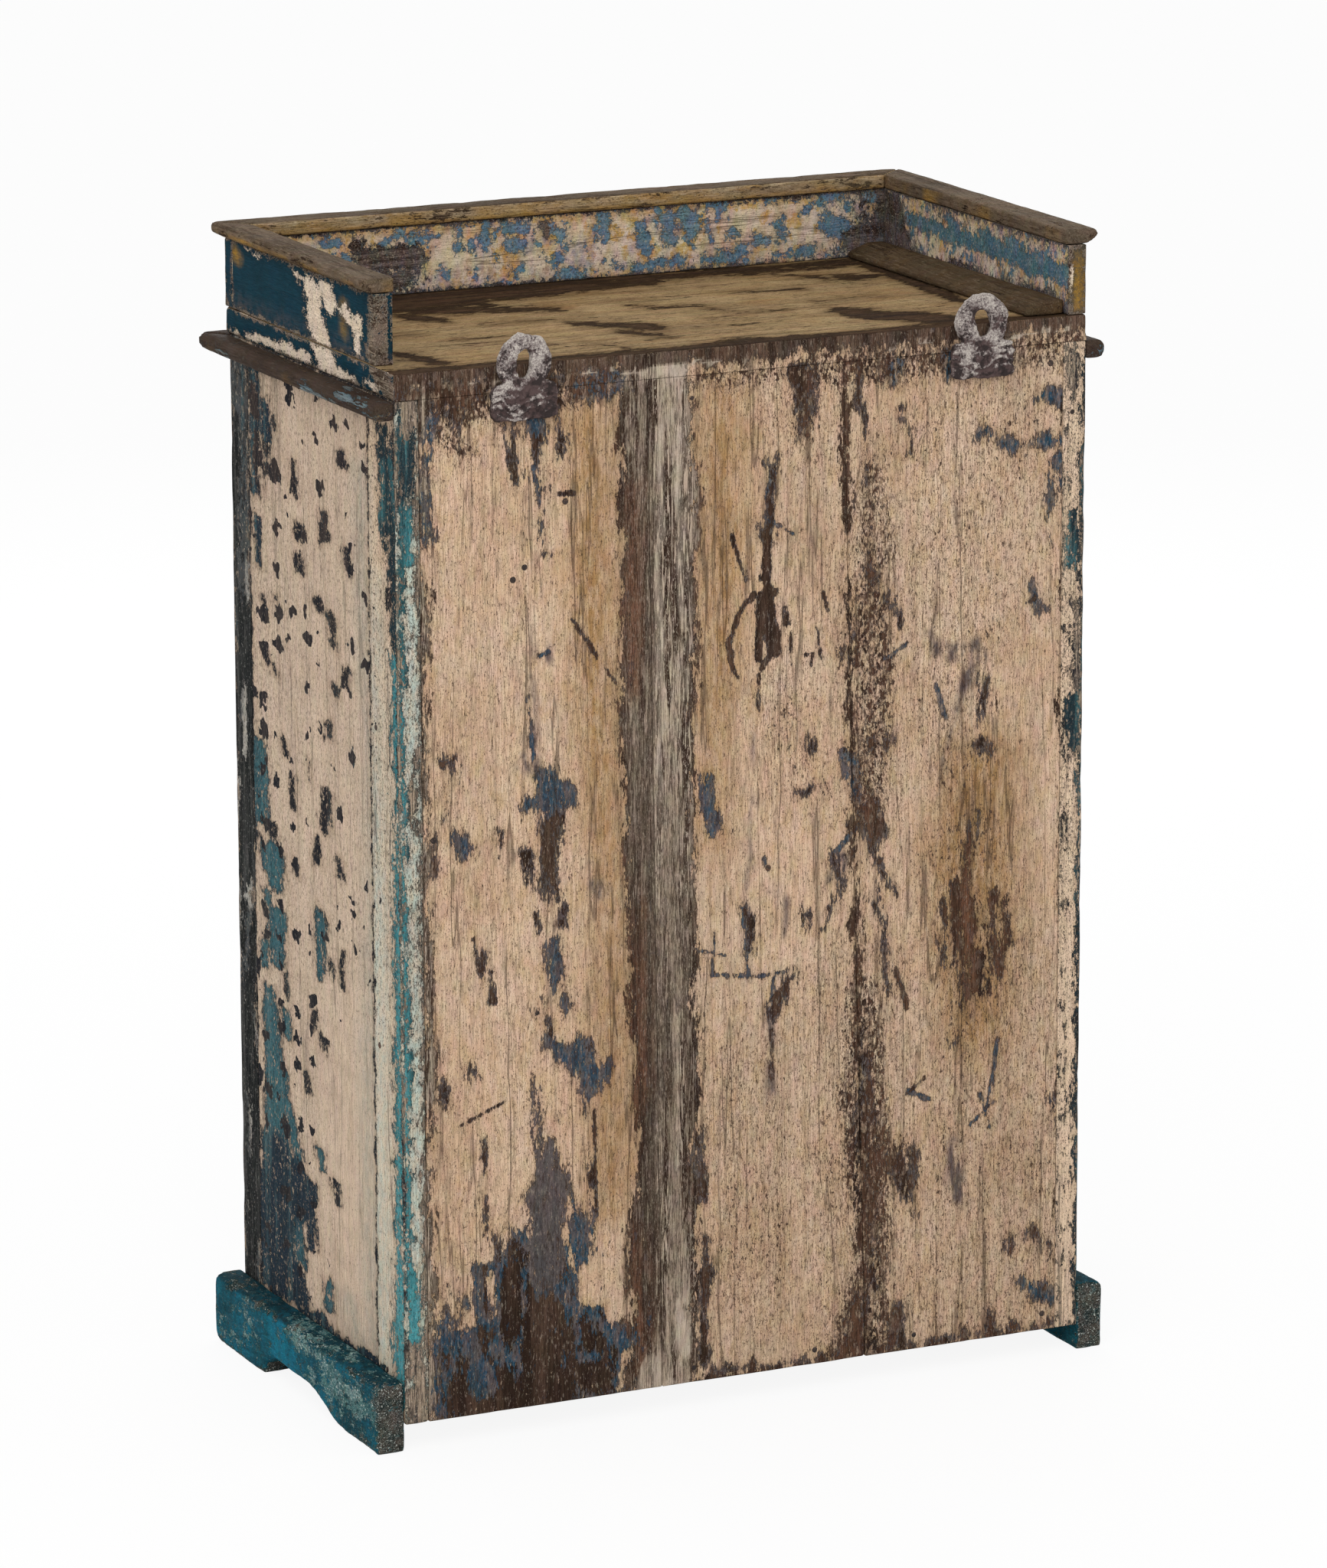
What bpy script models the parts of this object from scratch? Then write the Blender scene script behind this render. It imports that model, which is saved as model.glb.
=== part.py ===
"""Painted wooden display cabinet with a gallery top, bracket feet and two glazed doors.

Metres, +Z up, doors towards -Y, back towards +Y, origin on the floor under the middle of the whole box.
Left and right are as seen by somebody facing the doors, so left is -X.
"""

import math

import bmesh
import bpy
from mathutils import Matrix, Vector

# Fits shared by the whole cabinet
FIT_GAP = 0.0003            # between pieces that touch
ARRIS = 0.0008              # eased edge of a board

# Carcass
CARCASS_WIDTH = 0.600       # over the two sides
BODY_DEPTH = 0.332          # rear face to the front of the posts
BODY_BOTTOM = 0.022         # underside of the carcass above the floor
BODY_TOP = 0.842            # top of the sides and of the back
SIDE_THICKNESS = 0.020
SIDE_REAR_WIDTH = 0.054     # narrow rear board of each side
POST_WIDTH = 0.040
POST_DEPTH = 0.036
BACK_THICKNESS = 0.012
RIGHT_SEAM_LOW = 0.076      # seam between the middle and the right back board, at its foot
RIGHT_SEAM_HIGH = 0.086     # the same seam at its top
LEFT_SEAM_LOW = -0.106
LEFT_SEAM_HIGH = -0.084
UPPER_RAIL_HEIGHT = 0.040
LOWER_RAIL_HEIGHT = 0.040
RAIL_THICKNESS = 0.020
BOTTOM_THICKNESS = 0.016
DOOR_STOP_HEIGHT = 0.004    # bottom board above the lower rail
SHELF_THICKNESS = 0.014
SHELF_HOUSING = 0.006       # how far a shelf is let into each side
LOWER_SHELF_SHARE = 0.33    # share of the inside height under the shelf
UPPER_SHELF_SHARE = 0.66
SHELF_SETBACK = 0.004       # shelf edge behind the posts

# Top board, nosing, gallery and cap
TOP_OVERHANG = 0.008        # front edge of the top board past the posts
TOP_THICKNESS = 0.021
NOSING_HEIGHT = 0.0155
NOSING_SIDE_REACH = 0.0175
NOSING_FRONT_REACH = 0.026
NOSING_ROUND = 0.0065
GALLERY_HEIGHT = 0.056
GALLERY_THICKNESS = 0.016
GALLERY_RIGHT_SETBACK = 0.038   # the right board and its cap stop short of the rear face
GALLERY_LEFT_SETBACK = 0.001
CAP_WIDTH = 0.029
CAP_THICKNESS = 0.0125
CAP_SIDE_REACH = 0.0115
CAP_FRONT_REACH = 0.009
CAP_CORNER = 0.012          # worn round corner of the cap in plan
BATTEN_WIDTH = 0.034
BATTEN_HEIGHT = 0.012
BATTEN_REAR_GAP = 0.006

# Feet
FOOT_LENGTH = 0.339
FOOT_THICKNESS = 0.0246
FOOT_HEIGHT = 0.0573
FOOT_REAR_PAD = 0.070
FOOT_FRONT_PAD = 0.106
FOOT_ARCH = 0.018
ARCH_REAR_RUN = 0.074       # length of the slow rear curve of the arch
ARCH_FRONT_RUN = 0.022      # length of the quick front curve of the arch
FOOT_ROUND = 0.008          # rounded top outer edge

# Hanging eyes
EYE_THICKNESS = 0.007
EYE_PLATE_WIDTH = 0.055
EYE_PLATE_BOTTOM = 0.022    # under the top of the back
EYE_PLATE_TOP = 0.007       # over the top of the back
EYE_PLATE_CORNER = 0.006
EYE_RADIUS = 0.0225
EYE_RISE = 0.0225           # ring centre over the top of the back
EYE_SLOT_WIDTH = 0.013
EYE_SLOT_HEIGHT = 0.022
RIGHT_EYE_INSET = 0.107     # eye's middle from the outside of the side
LEFT_EYE_INSET = 0.0955

# Doors
DOOR_GAP = 0.0015           # round the pair of doors
MEETING_GAP = 0.0025
DOOR_THICKNESS = 0.020
STILE_WIDTH = 0.040
DOOR_TOP_RAIL = 0.042
DOOR_BOTTOM_RAIL = 0.056
BAR_HEIGHT = 0.020
BAR_SHARE = 0.50            # height of the glazing bar in the glass
REBATE_WIDTH = 0.008
REBATE_DEPTH = 0.009
GLASS_THICKNESS = 0.003
GLASS_PLAY = 0.001
KNOB_RADIUS = 0.011
KNOB_LENGTH = 0.020
KNOB_DROP = 0.085           # knob under the turn button
BUTTON_LENGTH = 0.076
BUTTON_WIDTH = 0.014
BUTTON_THICKNESS = 0.005
SCREW_RADIUS = 0.002
SCREW_BITE = 0.012
SCREW_HEAD_RADIUS = 0.0045
SCREW_HEAD_HEIGHT = 0.0025

# Hinges
LEAF_WIDTH = 0.024
LEAF_HEIGHT = 0.054
LEAF_THICKNESS = 0.002
KNUCKLE_RADIUS = 0.004
PIN_RADIUS = 0.0018
PIN_HEAD_RADIUS = 0.003
PIN_HEAD_HEIGHT = 0.0015
HINGE_INSET = 0.095         # hinge centre from the end of the door

# Positions that follow from the sizes
HALF = CARCASS_WIDTH / 2
FRONT_REACH = BODY_DEPTH + NOSING_FRONT_REACH
REAR_REACH = FIT_GAP + EYE_THICKNESS
REAR = (FRONT_REACH - REAR_REACH) / 2
FACE = REAR - BODY_DEPTH
TOP_FRONT = FACE - TOP_OVERHANG
BACK_INNER = REAR - BACK_THICKNESS
SIDE_INNER = HALF - SIDE_THICKNESS
OPENING = HALF - POST_WIDTH
POST_REAR = FACE + POST_DEPTH
TOP_SURFACE = BODY_TOP + TOP_THICKNESS
CAP_BOTTOM = TOP_SURFACE + GALLERY_HEIGHT
LOWER_RAIL_TOP = BODY_BOTTOM + LOWER_RAIL_HEIGHT
UPPER_RAIL_BOTTOM = BODY_TOP - UPPER_RAIL_HEIGHT
BOTTOM_SURFACE = LOWER_RAIL_TOP + DOOR_STOP_HEIGHT
DOOR_LOW = LOWER_RAIL_TOP + DOOR_GAP
DOOR_HIGH = UPPER_RAIL_BOTTOM - DOOR_GAP
DOOR_OUTER = OPENING - DOOR_GAP
DOOR_INNER = MEETING_GAP / 2
DOOR_REAR = FACE + DOOR_THICKNESS
GLASS_SEAT = DOOR_REAR - REBATE_DEPTH
AXIS_X = OPENING - DOOR_GAP / 2
AXIS_Y = FACE - FIT_GAP - KNUCKLE_RADIUS
BUTTON_X = DOOR_INNER + STILE_WIDTH / 2
BUTTON_Z = (DOOR_LOW + DOOR_HIGH) / 2

# Colours read from the painted and bare surfaces
CREAM = (0.62, 0.46, 0.34)
PETROL = (0.03, 0.11, 0.16)
TEAL = (0.05, 0.20, 0.24)
BARE = (0.16, 0.10, 0.06)
TAN = (0.24, 0.19, 0.10)
OCHRE = (0.45, 0.25, 0.04)
IRON = (0.16, 0.13, 0.13)
GLASS = (0.80, 0.86, 0.84)

PLANES = {
    "xy": (Vector((1, 0, 0)), Vector((0, 1, 0)), Vector((0, 0, 1))),
    "yz": (Vector((0, 1, 0)), Vector((0, 0, 1)), Vector((1, 0, 0))),
    "xz": (Vector((1, 0, 0)), Vector((0, 0, 1)), Vector((0, -1, 0))),
}

for old in list(bpy.data.objects):
    bpy.data.objects.remove(old, do_unlink=True)

parts = bpy.data.collections.new("display_cabinet")
cutters = bpy.data.collections.new("cutters")
cutters.hide_render = True
for collection in (parts, cutters):
    bpy.context.scene.collection.children.link(collection)


def paint(obj, colour, roughness=0.8, metallic=0.0):
    material = bpy.data.materials.new(obj.name + "_finish")
    material.use_nodes = True
    shader = material.node_tree.nodes["Principled BSDF"]
    shader.inputs["Base Color"].default_value = (*colour, 1.0)
    shader.inputs["Roughness"].default_value = roughness
    shader.inputs["Metallic"].default_value = metallic
    obj.data.materials.append(material)
    return obj


def block(name, low, high, collection=parts):
    """Rectangular board between two opposite corners."""
    low, high = Vector(low), Vector(high)
    mesh = bpy.data.meshes.new(name)
    shape = bmesh.new()
    bmesh.ops.create_cube(shape, size=1.0)
    bmesh.ops.scale(shape, vec=high - low, verts=shape.verts)
    bmesh.ops.translate(shape, vec=(low + high) / 2, verts=shape.verts)
    shape.to_mesh(mesh)
    shape.free()
    obj = bpy.data.objects.new(name, mesh)
    collection.objects.link(obj)
    return obj


def prism(name, loops, plane, start, end, collection=parts):
    """Flat outline, with holes where there are more loops, pulled from start to end across its plane."""
    curve = bpy.data.curves.new(name + "_outline", "CURVE")
    curve.dimensions = "2D"
    curve.fill_mode = "BOTH"
    curve.extrude = abs(end - start) / 2
    for loop in loops:
        spline = curve.splines.new("POLY")
        spline.points.add(len(loop) - 1)
        for point, (u, v) in zip(spline.points, loop):
            point.co = (u, v, 0.0, 1.0)
        spline.use_cyclic_u = True
    outline = bpy.data.objects.new(name + "_outline", curve)
    mesh = bpy.data.meshes.new_from_object(outline)
    mesh.name = name
    bpy.data.objects.remove(outline, do_unlink=True)
    along_u, along_v, across = PLANES[plane]
    turn = Matrix((along_u, along_v, across)).transposed().to_4x4()
    middle = Vector([abs(part) for part in across]) * (start + end) / 2
    mesh.transform(Matrix.Translation(middle) @ turn)
    shape = bmesh.new()
    shape.from_mesh(mesh)
    bmesh.ops.remove_doubles(shape, verts=shape.verts, dist=1e-6)
    bmesh.ops.recalc_face_normals(shape, faces=shape.faces)
    shape.to_mesh(mesh)
    shape.free()
    obj = bpy.data.objects.new(name, mesh)
    collection.objects.link(obj)
    return obj


def turned(name, profile, axis, place, steps=32, flip_faces=False):
    """Round piece: radius and distance along the axis, from one pole to the other."""
    mesh = bpy.data.meshes.new(name)
    if axis == "Z":
        points = [(radius, 0.0, along) for radius, along in profile]
    else:
        points = [(radius, along, 0.0) for radius, along in profile]
    mesh.from_pydata(points, [(i, i + 1) for i in range(len(points) - 1)], [])
    obj = bpy.data.objects.new(name, mesh)
    obj.location = place
    parts.objects.link(obj)
    screw = obj.modifiers.new("turn", "SCREW")
    screw.axis = axis
    screw.angle = math.tau
    screw.steps = steps
    screw.render_steps = steps
    screw.use_merge_vertices = True
    screw.merge_threshold = 1e-5
    screw.use_normal_calculate = True
    screw.use_normal_flip = flip_faces
    return obj


def boolean(obj, cutter, operation):
    cutter.hide_render = True
    cutter.display_type = "WIRE"
    step = obj.modifiers.new(operation.lower(), "BOOLEAN")
    step.operation = operation
    step.solver = "EXACT"
    step.object = cutter
    return obj


def ease(obj, width=ARRIS, segments=1):
    bevel = obj.modifiers.new("eased_edges", "BEVEL")
    bevel.width = width
    bevel.segments = segments
    bevel.limit_method = "ANGLE"
    return obj


def arc(centre_u, centre_v, radius, start, end, steps=8):
    """Points of an arc, angles in degrees."""
    angles = [math.radians(start + (end - start) * i / steps) for i in range(steps + 1)]
    return [(centre_u + radius * math.cos(a), centre_v + radius * math.sin(a)) for a in angles]


def flip(points, sign):
    return [(sign * u, v) for u, v in points]


def board(name, low, high, colour):
    return ease(paint(block(name, low, high), colour))


# Posts and side boards, with housings for the shelves
inside_height = BODY_TOP - BOTTOM_SURFACE
lower_shelf_under = BOTTOM_SURFACE + LOWER_SHELF_SHARE * inside_height - SHELF_THICKNESS / 2
upper_shelf_under = BOTTOM_SURFACE + UPPER_SHELF_SHARE * inside_height - SHELF_THICKNESS / 2
shelf_levels = (("lower_shelf", lower_shelf_under), ("upper_shelf", upper_shelf_under))
shelf_front = POST_REAR + SHELF_SETBACK
shelf_half = SIDE_INNER + SHELF_HOUSING
side_seam = REAR - SIDE_REAR_WIDTH

for side, sign in (("left", -1), ("right", 1)):
    def across(near, far):
        return sorted((sign * near, sign * far))

    inner, outer = across(OPENING, HALF)
    board(side + "_front_post", (inner, FACE, BODY_BOTTOM),
          (outer, POST_REAR, BODY_TOP - FIT_GAP), PETROL)
    inner, outer = across(SIDE_INNER, HALF)
    boards = (("_side_board", POST_REAR + FIT_GAP, side_seam - FIT_GAP), ("_side_rear_board", side_seam, REAR))
    for ending, front, back in boards:
        panel = block(side + ending, (inner, front, BODY_BOTTOM), (outer, back, BODY_TOP - FIT_GAP))
        paint(panel, CREAM)
        for shelf, under in shelf_levels:
            inner_cut, outer_cut = across(SIDE_INNER - SHELF_HOUSING, shelf_half + FIT_GAP)
            housing = block(
                f"{side}{ending}_{shelf}_housing",
                (inner_cut, max(shelf_front - FIT_GAP, front - SHELF_HOUSING), under - FIT_GAP),
                (outer_cut, min(BACK_INNER, back + SHELF_HOUSING), under + SHELF_THICKNESS + FIT_GAP),
                cutters,
            )
            boolean(panel, housing, "DIFFERENCE")

# Rails, bottom board and shelves
rail_half = OPENING - FIT_GAP
board("front_top_rail", (-rail_half, FACE, UPPER_RAIL_BOTTOM),
      (rail_half, FACE + RAIL_THICKNESS, BODY_TOP - FIT_GAP), PETROL)
board("front_bottom_rail", (-rail_half, FACE, BODY_BOTTOM),
      (rail_half, FACE + RAIL_THICKNESS, LOWER_RAIL_TOP), PETROL)

board_half = SIDE_INNER - FIT_GAP
board_rear = BACK_INNER - FIT_GAP
bottom_front = max(DOOR_REAR, FACE + RAIL_THICKNESS) + FIT_GAP
bottom_plan = [
    (-board_half, board_rear),
    (-board_half, POST_REAR + FIT_GAP),
    (-rail_half, POST_REAR + FIT_GAP),
    (-rail_half, bottom_front),
    (rail_half, bottom_front),
    (rail_half, POST_REAR + FIT_GAP),
    (board_half, POST_REAR + FIT_GAP),
    (board_half, board_rear),
]
bottom = prism("bottom_board", [bottom_plan], "xy", BOTTOM_SURFACE - BOTTOM_THICKNESS, BOTTOM_SURFACE)
ease(paint(bottom, BARE))

for shelf, under in shelf_levels:
    board(shelf, (-shelf_half, shelf_front, under), (shelf_half, board_rear, under + SHELF_THICKNESS), CREAM)

# Back boards, with the two seams a little out of plumb
back_half = SIDE_INNER - FIT_GAP
seam_half = FIT_GAP / 2
back_edges = (
    ("back_board_left", -back_half, -back_half, LEFT_SEAM_LOW - seam_half, LEFT_SEAM_HIGH - seam_half),
    ("back_board_middle", LEFT_SEAM_LOW + seam_half, LEFT_SEAM_HIGH + seam_half,
     RIGHT_SEAM_LOW - seam_half, RIGHT_SEAM_HIGH - seam_half),
    ("back_board_right", RIGHT_SEAM_LOW + seam_half, RIGHT_SEAM_HIGH + seam_half, back_half, back_half),
)
for name, near_low, near_high, far_low, far_high in back_edges:
    front_view = [
        (near_low, BODY_BOTTOM),
        (far_low, BODY_BOTTOM),
        (far_high, BODY_TOP - FIT_GAP),
        (near_high, BODY_TOP - FIT_GAP),
    ]
    ease(paint(prism(name, [front_view], "xz", BACK_INNER, REAR), CREAM))

# Top board and the nosing under it
board("top_board", (-HALF, TOP_FRONT, BODY_TOP), (HALF, REAR, TOP_SURFACE), TAN)

nosing_bottom = BODY_TOP - NOSING_HEIGHT
nosing_top = BODY_TOP - FIT_GAP


def nosing_profile(reach):
    """Strip from the body (0) out to its reach, rounded on both outer edges."""
    upper = arc(reach - NOSING_ROUND, nosing_top - NOSING_ROUND, NOSING_ROUND, 90, 0, 6)
    lower = arc(reach - NOSING_ROUND, nosing_bottom + NOSING_ROUND, NOSING_ROUND, 0, -90, 6)
    return [(FIT_GAP, nosing_bottom), (FIT_GAP, nosing_top)] + upper + lower


nosing_front = FACE - NOSING_FRONT_REACH
nosing_outer = HALF + NOSING_SIDE_REACH
mitre_gap = FIT_GAP / 2


def mitre_plan(sign, inner, outer, inner_front, outer_front, rear):
    """Plan of a side strip whose front end is mitred to the front strip."""
    plan = [
        (inner, rear),
        (inner, inner_front + mitre_gap),
        (outer, outer_front + mitre_gap),
        (outer + FIT_GAP, outer_front + mitre_gap),
        (outer + FIT_GAP, rear),
    ]
    return flip(plan, sign)


def front_plan(inner, outer, inner_front, outer_front):
    """Plan of the front strip between the two mitres."""
    return [
        (-inner + mitre_gap, inner_front),
        (inner - mitre_gap, inner_front),
        (outer - mitre_gap, outer_front),
        (outer - mitre_gap, outer_front - FIT_GAP),
        (-outer + mitre_gap, outer_front - FIT_GAP),
        (-outer + mitre_gap, outer_front),
    ]


for side, sign in (("left", -1), ("right", 1)):
    profile = flip([(HALF + u, v) for u, v in nosing_profile(NOSING_SIDE_REACH)], sign)
    strip = prism(side + "_nosing", [profile], "xz", nosing_front, REAR)
    plan = mitre_plan(sign, HALF, nosing_outer, FACE, nosing_front, REAR + NOSING_HEIGHT)
    mitre = prism(side + "_nosing_mitre", [plan], "xy", nosing_bottom - NOSING_HEIGHT,
                  BODY_TOP + NOSING_HEIGHT, cutters)
    boolean(paint(strip, BARE), mitre, "INTERSECT")

profile = [(FACE - u, v) for u, v in nosing_profile(NOSING_FRONT_REACH)]
strip = prism("front_nosing", [profile], "yz", -nosing_outer, nosing_outer)
plan = front_plan(HALF, nosing_outer, FACE, nosing_front)
mitre = prism("front_nosing_mitre", [plan], "xy", nosing_bottom - NOSING_HEIGHT,
              BODY_TOP + NOSING_HEIGHT, cutters)
boolean(paint(strip, BARE), mitre, "INTERSECT")

# Gallery boards on the top board
gallery_low = TOP_SURFACE + FIT_GAP
gallery_inner = HALF - GALLERY_THICKNESS
gallery_rear_of_front = TOP_FRONT + GALLERY_THICKNESS
board("gallery_front_board", (-HALF, TOP_FRONT, gallery_low), (HALF, gallery_rear_of_front, CAP_BOTTOM), PETROL)
setbacks = {"left": GALLERY_LEFT_SETBACK, "right": GALLERY_RIGHT_SETBACK}
for side, sign in (("left", -1), ("right", 1)):
    near, far = sorted((sign * gallery_inner, sign * HALF))
    board(f"gallery_{side}_board", (near, gallery_rear_of_front + FIT_GAP, gallery_low),
          (far, REAR - setbacks[side], CAP_BOTTOM), PETROL)

# Batten inside the left gallery board only
batten_edge = FIT_GAP - gallery_inner
batten_low = gallery_low
profile = [
    (batten_edge + BATTEN_WIDTH, batten_low),
    (batten_edge, batten_low),
    (batten_edge, batten_low + BATTEN_HEIGHT),
    (batten_edge + BATTEN_WIDTH * 0.45, batten_low + BATTEN_HEIGHT),
    (batten_edge + BATTEN_WIDTH, batten_low + BATTEN_HEIGHT * 0.45),
]
batten = prism("gallery_left_batten", [profile], "xz", gallery_rear_of_front + FIT_GAP,
               REAR - GALLERY_LEFT_SETBACK - BATTEN_REAR_GAP)
paint(batten, BARE)

# Cap over the gallery, mitred at the front and worn round at the corners
cap_low = CAP_BOTTOM + FIT_GAP
cap_high = CAP_BOTTOM + CAP_THICKNESS
cap_outer = HALF + CAP_SIDE_REACH
cap_inner = cap_outer - CAP_WIDTH
cap_front = TOP_FRONT - CAP_FRONT_REACH
cap_back = cap_front + CAP_WIDTH


def cap_profile():
    """Cap from its inner edge (0) to its outer edge: round nose above a slanted underside."""
    depth = cap_high - cap_low
    nose = arc(CAP_WIDTH - depth * 0.40, cap_high - depth * 0.40, depth * 0.40, 90, -30, 8)
    return [(0.0, cap_high)] + nose + [(CAP_WIDTH - depth * 0.80, cap_low), (0.0, cap_low)]


corners = [
    (cap_outer - CAP_CORNER, cap_front + CAP_CORNER, -90, 0),
    (cap_outer - CAP_CORNER, REAR + CAP_CORNER, 0, 90),
    (-cap_outer + CAP_CORNER, REAR + CAP_CORNER, 90, 180),
    (-cap_outer + CAP_CORNER, cap_front + CAP_CORNER, 180, 270),
]
worn_plan = [point for u, v, start, end in corners for point in arc(u, v, CAP_CORNER, start, end, 6)]
worn = prism("cap_worn_outline", [worn_plan], "xy", cap_low - CAP_THICKNESS, cap_high + CAP_THICKNESS, cutters)

for side, sign in (("left", -1), ("right", 1)):
    profile = flip([(cap_inner + u, v) for u, v in cap_profile()], sign)
    strip = prism(f"cap_{side}", [profile], "xz", cap_front, REAR - setbacks[side])
    plan = mitre_plan(sign, cap_inner - FIT_GAP, cap_outer, cap_back + FIT_GAP, cap_front, REAR + CAP_THICKNESS)
    mitre = prism(f"cap_{side}_mitre", [plan], "xy", cap_low - CAP_THICKNESS, cap_high + CAP_THICKNESS, cutters)
    boolean(paint(strip, BARE), mitre, "INTERSECT")
    boolean(strip, worn, "INTERSECT")

profile = [(cap_back - u, v) for u, v in cap_profile()]
strip = prism("cap_front", [profile], "yz", -cap_outer, cap_outer)
plan = front_plan(cap_inner - FIT_GAP, cap_outer, cap_back + FIT_GAP, cap_front)
mitre = prism("cap_front_mitre", [plan], "xy", cap_low - CAP_THICKNESS, cap_high + CAP_THICKNESS, cutters)
boolean(paint(strip, BARE), mitre, "INTERSECT")
boolean(strip, worn, "INTERSECT")

# Bracket feet outside the sides
arch_steps = 10
foot_front = REAR - FOOT_LENGTH
arch_start = REAR - FOOT_REAR_PAD
arch_end = foot_front + FOOT_FRONT_PAD
rear_curve = []
for step in range(arch_steps + 1):
    share = step / arch_steps
    height = FOOT_ARCH * (1 - math.cos(math.pi * share)) / 2
    rear_curve.append((arch_start - ARCH_REAR_RUN * share, height))
front_curve = []
for step in range(arch_steps + 1):
    turn = math.pi / 2 * (1 - step / arch_steps)
    front_curve.append((arch_end + ARCH_FRONT_RUN * (1 - math.cos(turn)), FOOT_ARCH * math.sin(turn)))
toe = arc(foot_front + FOOT_ROUND, FOOT_ROUND, FOOT_ROUND, 270, 180, 6)
foot_view = [(REAR, 0.0)] + rear_curve + front_curve + toe + [(foot_front, FOOT_HEIGHT), (REAR, FOOT_HEIGHT)]
foot_outer = HALF + FOOT_THICKNESS
foot_inner = HALF + FIT_GAP
foot_end = [(foot_inner, -FOOT_HEIGHT), (foot_outer, -FOOT_HEIGHT)]
foot_end += arc(foot_outer - FOOT_ROUND, FOOT_HEIGHT - FOOT_ROUND, FOOT_ROUND, 0, 90, 6)
foot_end += [(foot_inner, FOOT_HEIGHT)]

for side, sign in (("left", -1), ("right", 1)):
    near, far = sorted((sign * HALF, sign * (foot_outer + FOOT_ROUND)))
    foot = paint(prism(side + "_foot", [foot_view], "yz", near, far), TEAL)
    section = prism(side + "_foot_section", [flip(foot_end, sign)], "xz",
                    foot_front - FOOT_HEIGHT, REAR + FOOT_HEIGHT, cutters)
    boolean(foot, section, "INTERSECT")

# Forged hanging eyes on the back
eye_middles = (("left_hanging_eye", LEFT_EYE_INSET - HALF), ("right_hanging_eye", HALF - RIGHT_EYE_INSET))
for name, middle in eye_middles:
    plate_low = BODY_TOP - EYE_PLATE_BOTTOM
    plate_high = BODY_TOP + EYE_PLATE_TOP
    ring_z = BODY_TOP + EYE_RISE
    half_plate = EYE_PLATE_WIDTH / 2
    corner = EYE_PLATE_CORNER
    neck = math.degrees(math.asin((plate_high - ring_z) / EYE_RADIUS))
    outline = arc(middle - half_plate + corner, plate_low + corner, corner, 180, 270, 4)
    outline += arc(middle + half_plate - corner, plate_low + corner, corner, 270, 360, 4)
    outline += arc(middle + half_plate - corner, plate_high - corner, corner, 0, 90, 4)
    outline += arc(middle, ring_z, EYE_RADIUS, neck, 180 - neck, 20)
    outline += arc(middle - half_plate + corner, plate_high - corner, corner, 90, 180, 4)
    slot_round = EYE_SLOT_WIDTH / 2
    slot_reach = EYE_SLOT_HEIGHT / 2 - slot_round
    slot = arc(middle, ring_z + slot_reach, slot_round, 0, 180, 8)
    slot += arc(middle, ring_z - slot_reach, slot_round, 180, 360, 8)
    paint(prism(name, [outline, slot], "xz", REAR + FIT_GAP, REAR + REAR_REACH), IRON, 0.9, 0.5)

# Joint axes: every moving piece hangs under one of these
axes = {}
for name, place in (
    ("left_door_axis", (-AXIS_X, AXIS_Y, DOOR_LOW)),
    ("right_door_axis", (AXIS_X, AXIS_Y, DOOR_LOW)),
    ("turn_button_axis", (BUTTON_X, FACE, BUTTON_Z)),
):
    empty = bpy.data.objects.new(name, None)
    empty.empty_display_size = 0.05
    empty.location = place
    parts.objects.link(empty)
    axes[name] = empty
bpy.context.view_layer.update()


def ride(obj, axis):
    obj.parent = axes[axis]
    obj.matrix_parent_inverse = axes[axis].matrix_world.inverted()
    return obj


ride(axes["turn_button_axis"], "right_door_axis")

# Doors: stiles and rails rebated at the back for the glass
hinge_levels = (("upper", DOOR_HIGH - HINGE_INSET), ("lower", DOOR_LOW + HINGE_INSET))
glass_low = DOOR_LOW + DOOR_BOTTOM_RAIL
glass_high = DOOR_HIGH - DOOR_TOP_RAIL
near_stile = DOOR_INNER + STILE_WIDTH
far_stile = DOOR_OUTER - STILE_WIDTH

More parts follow.
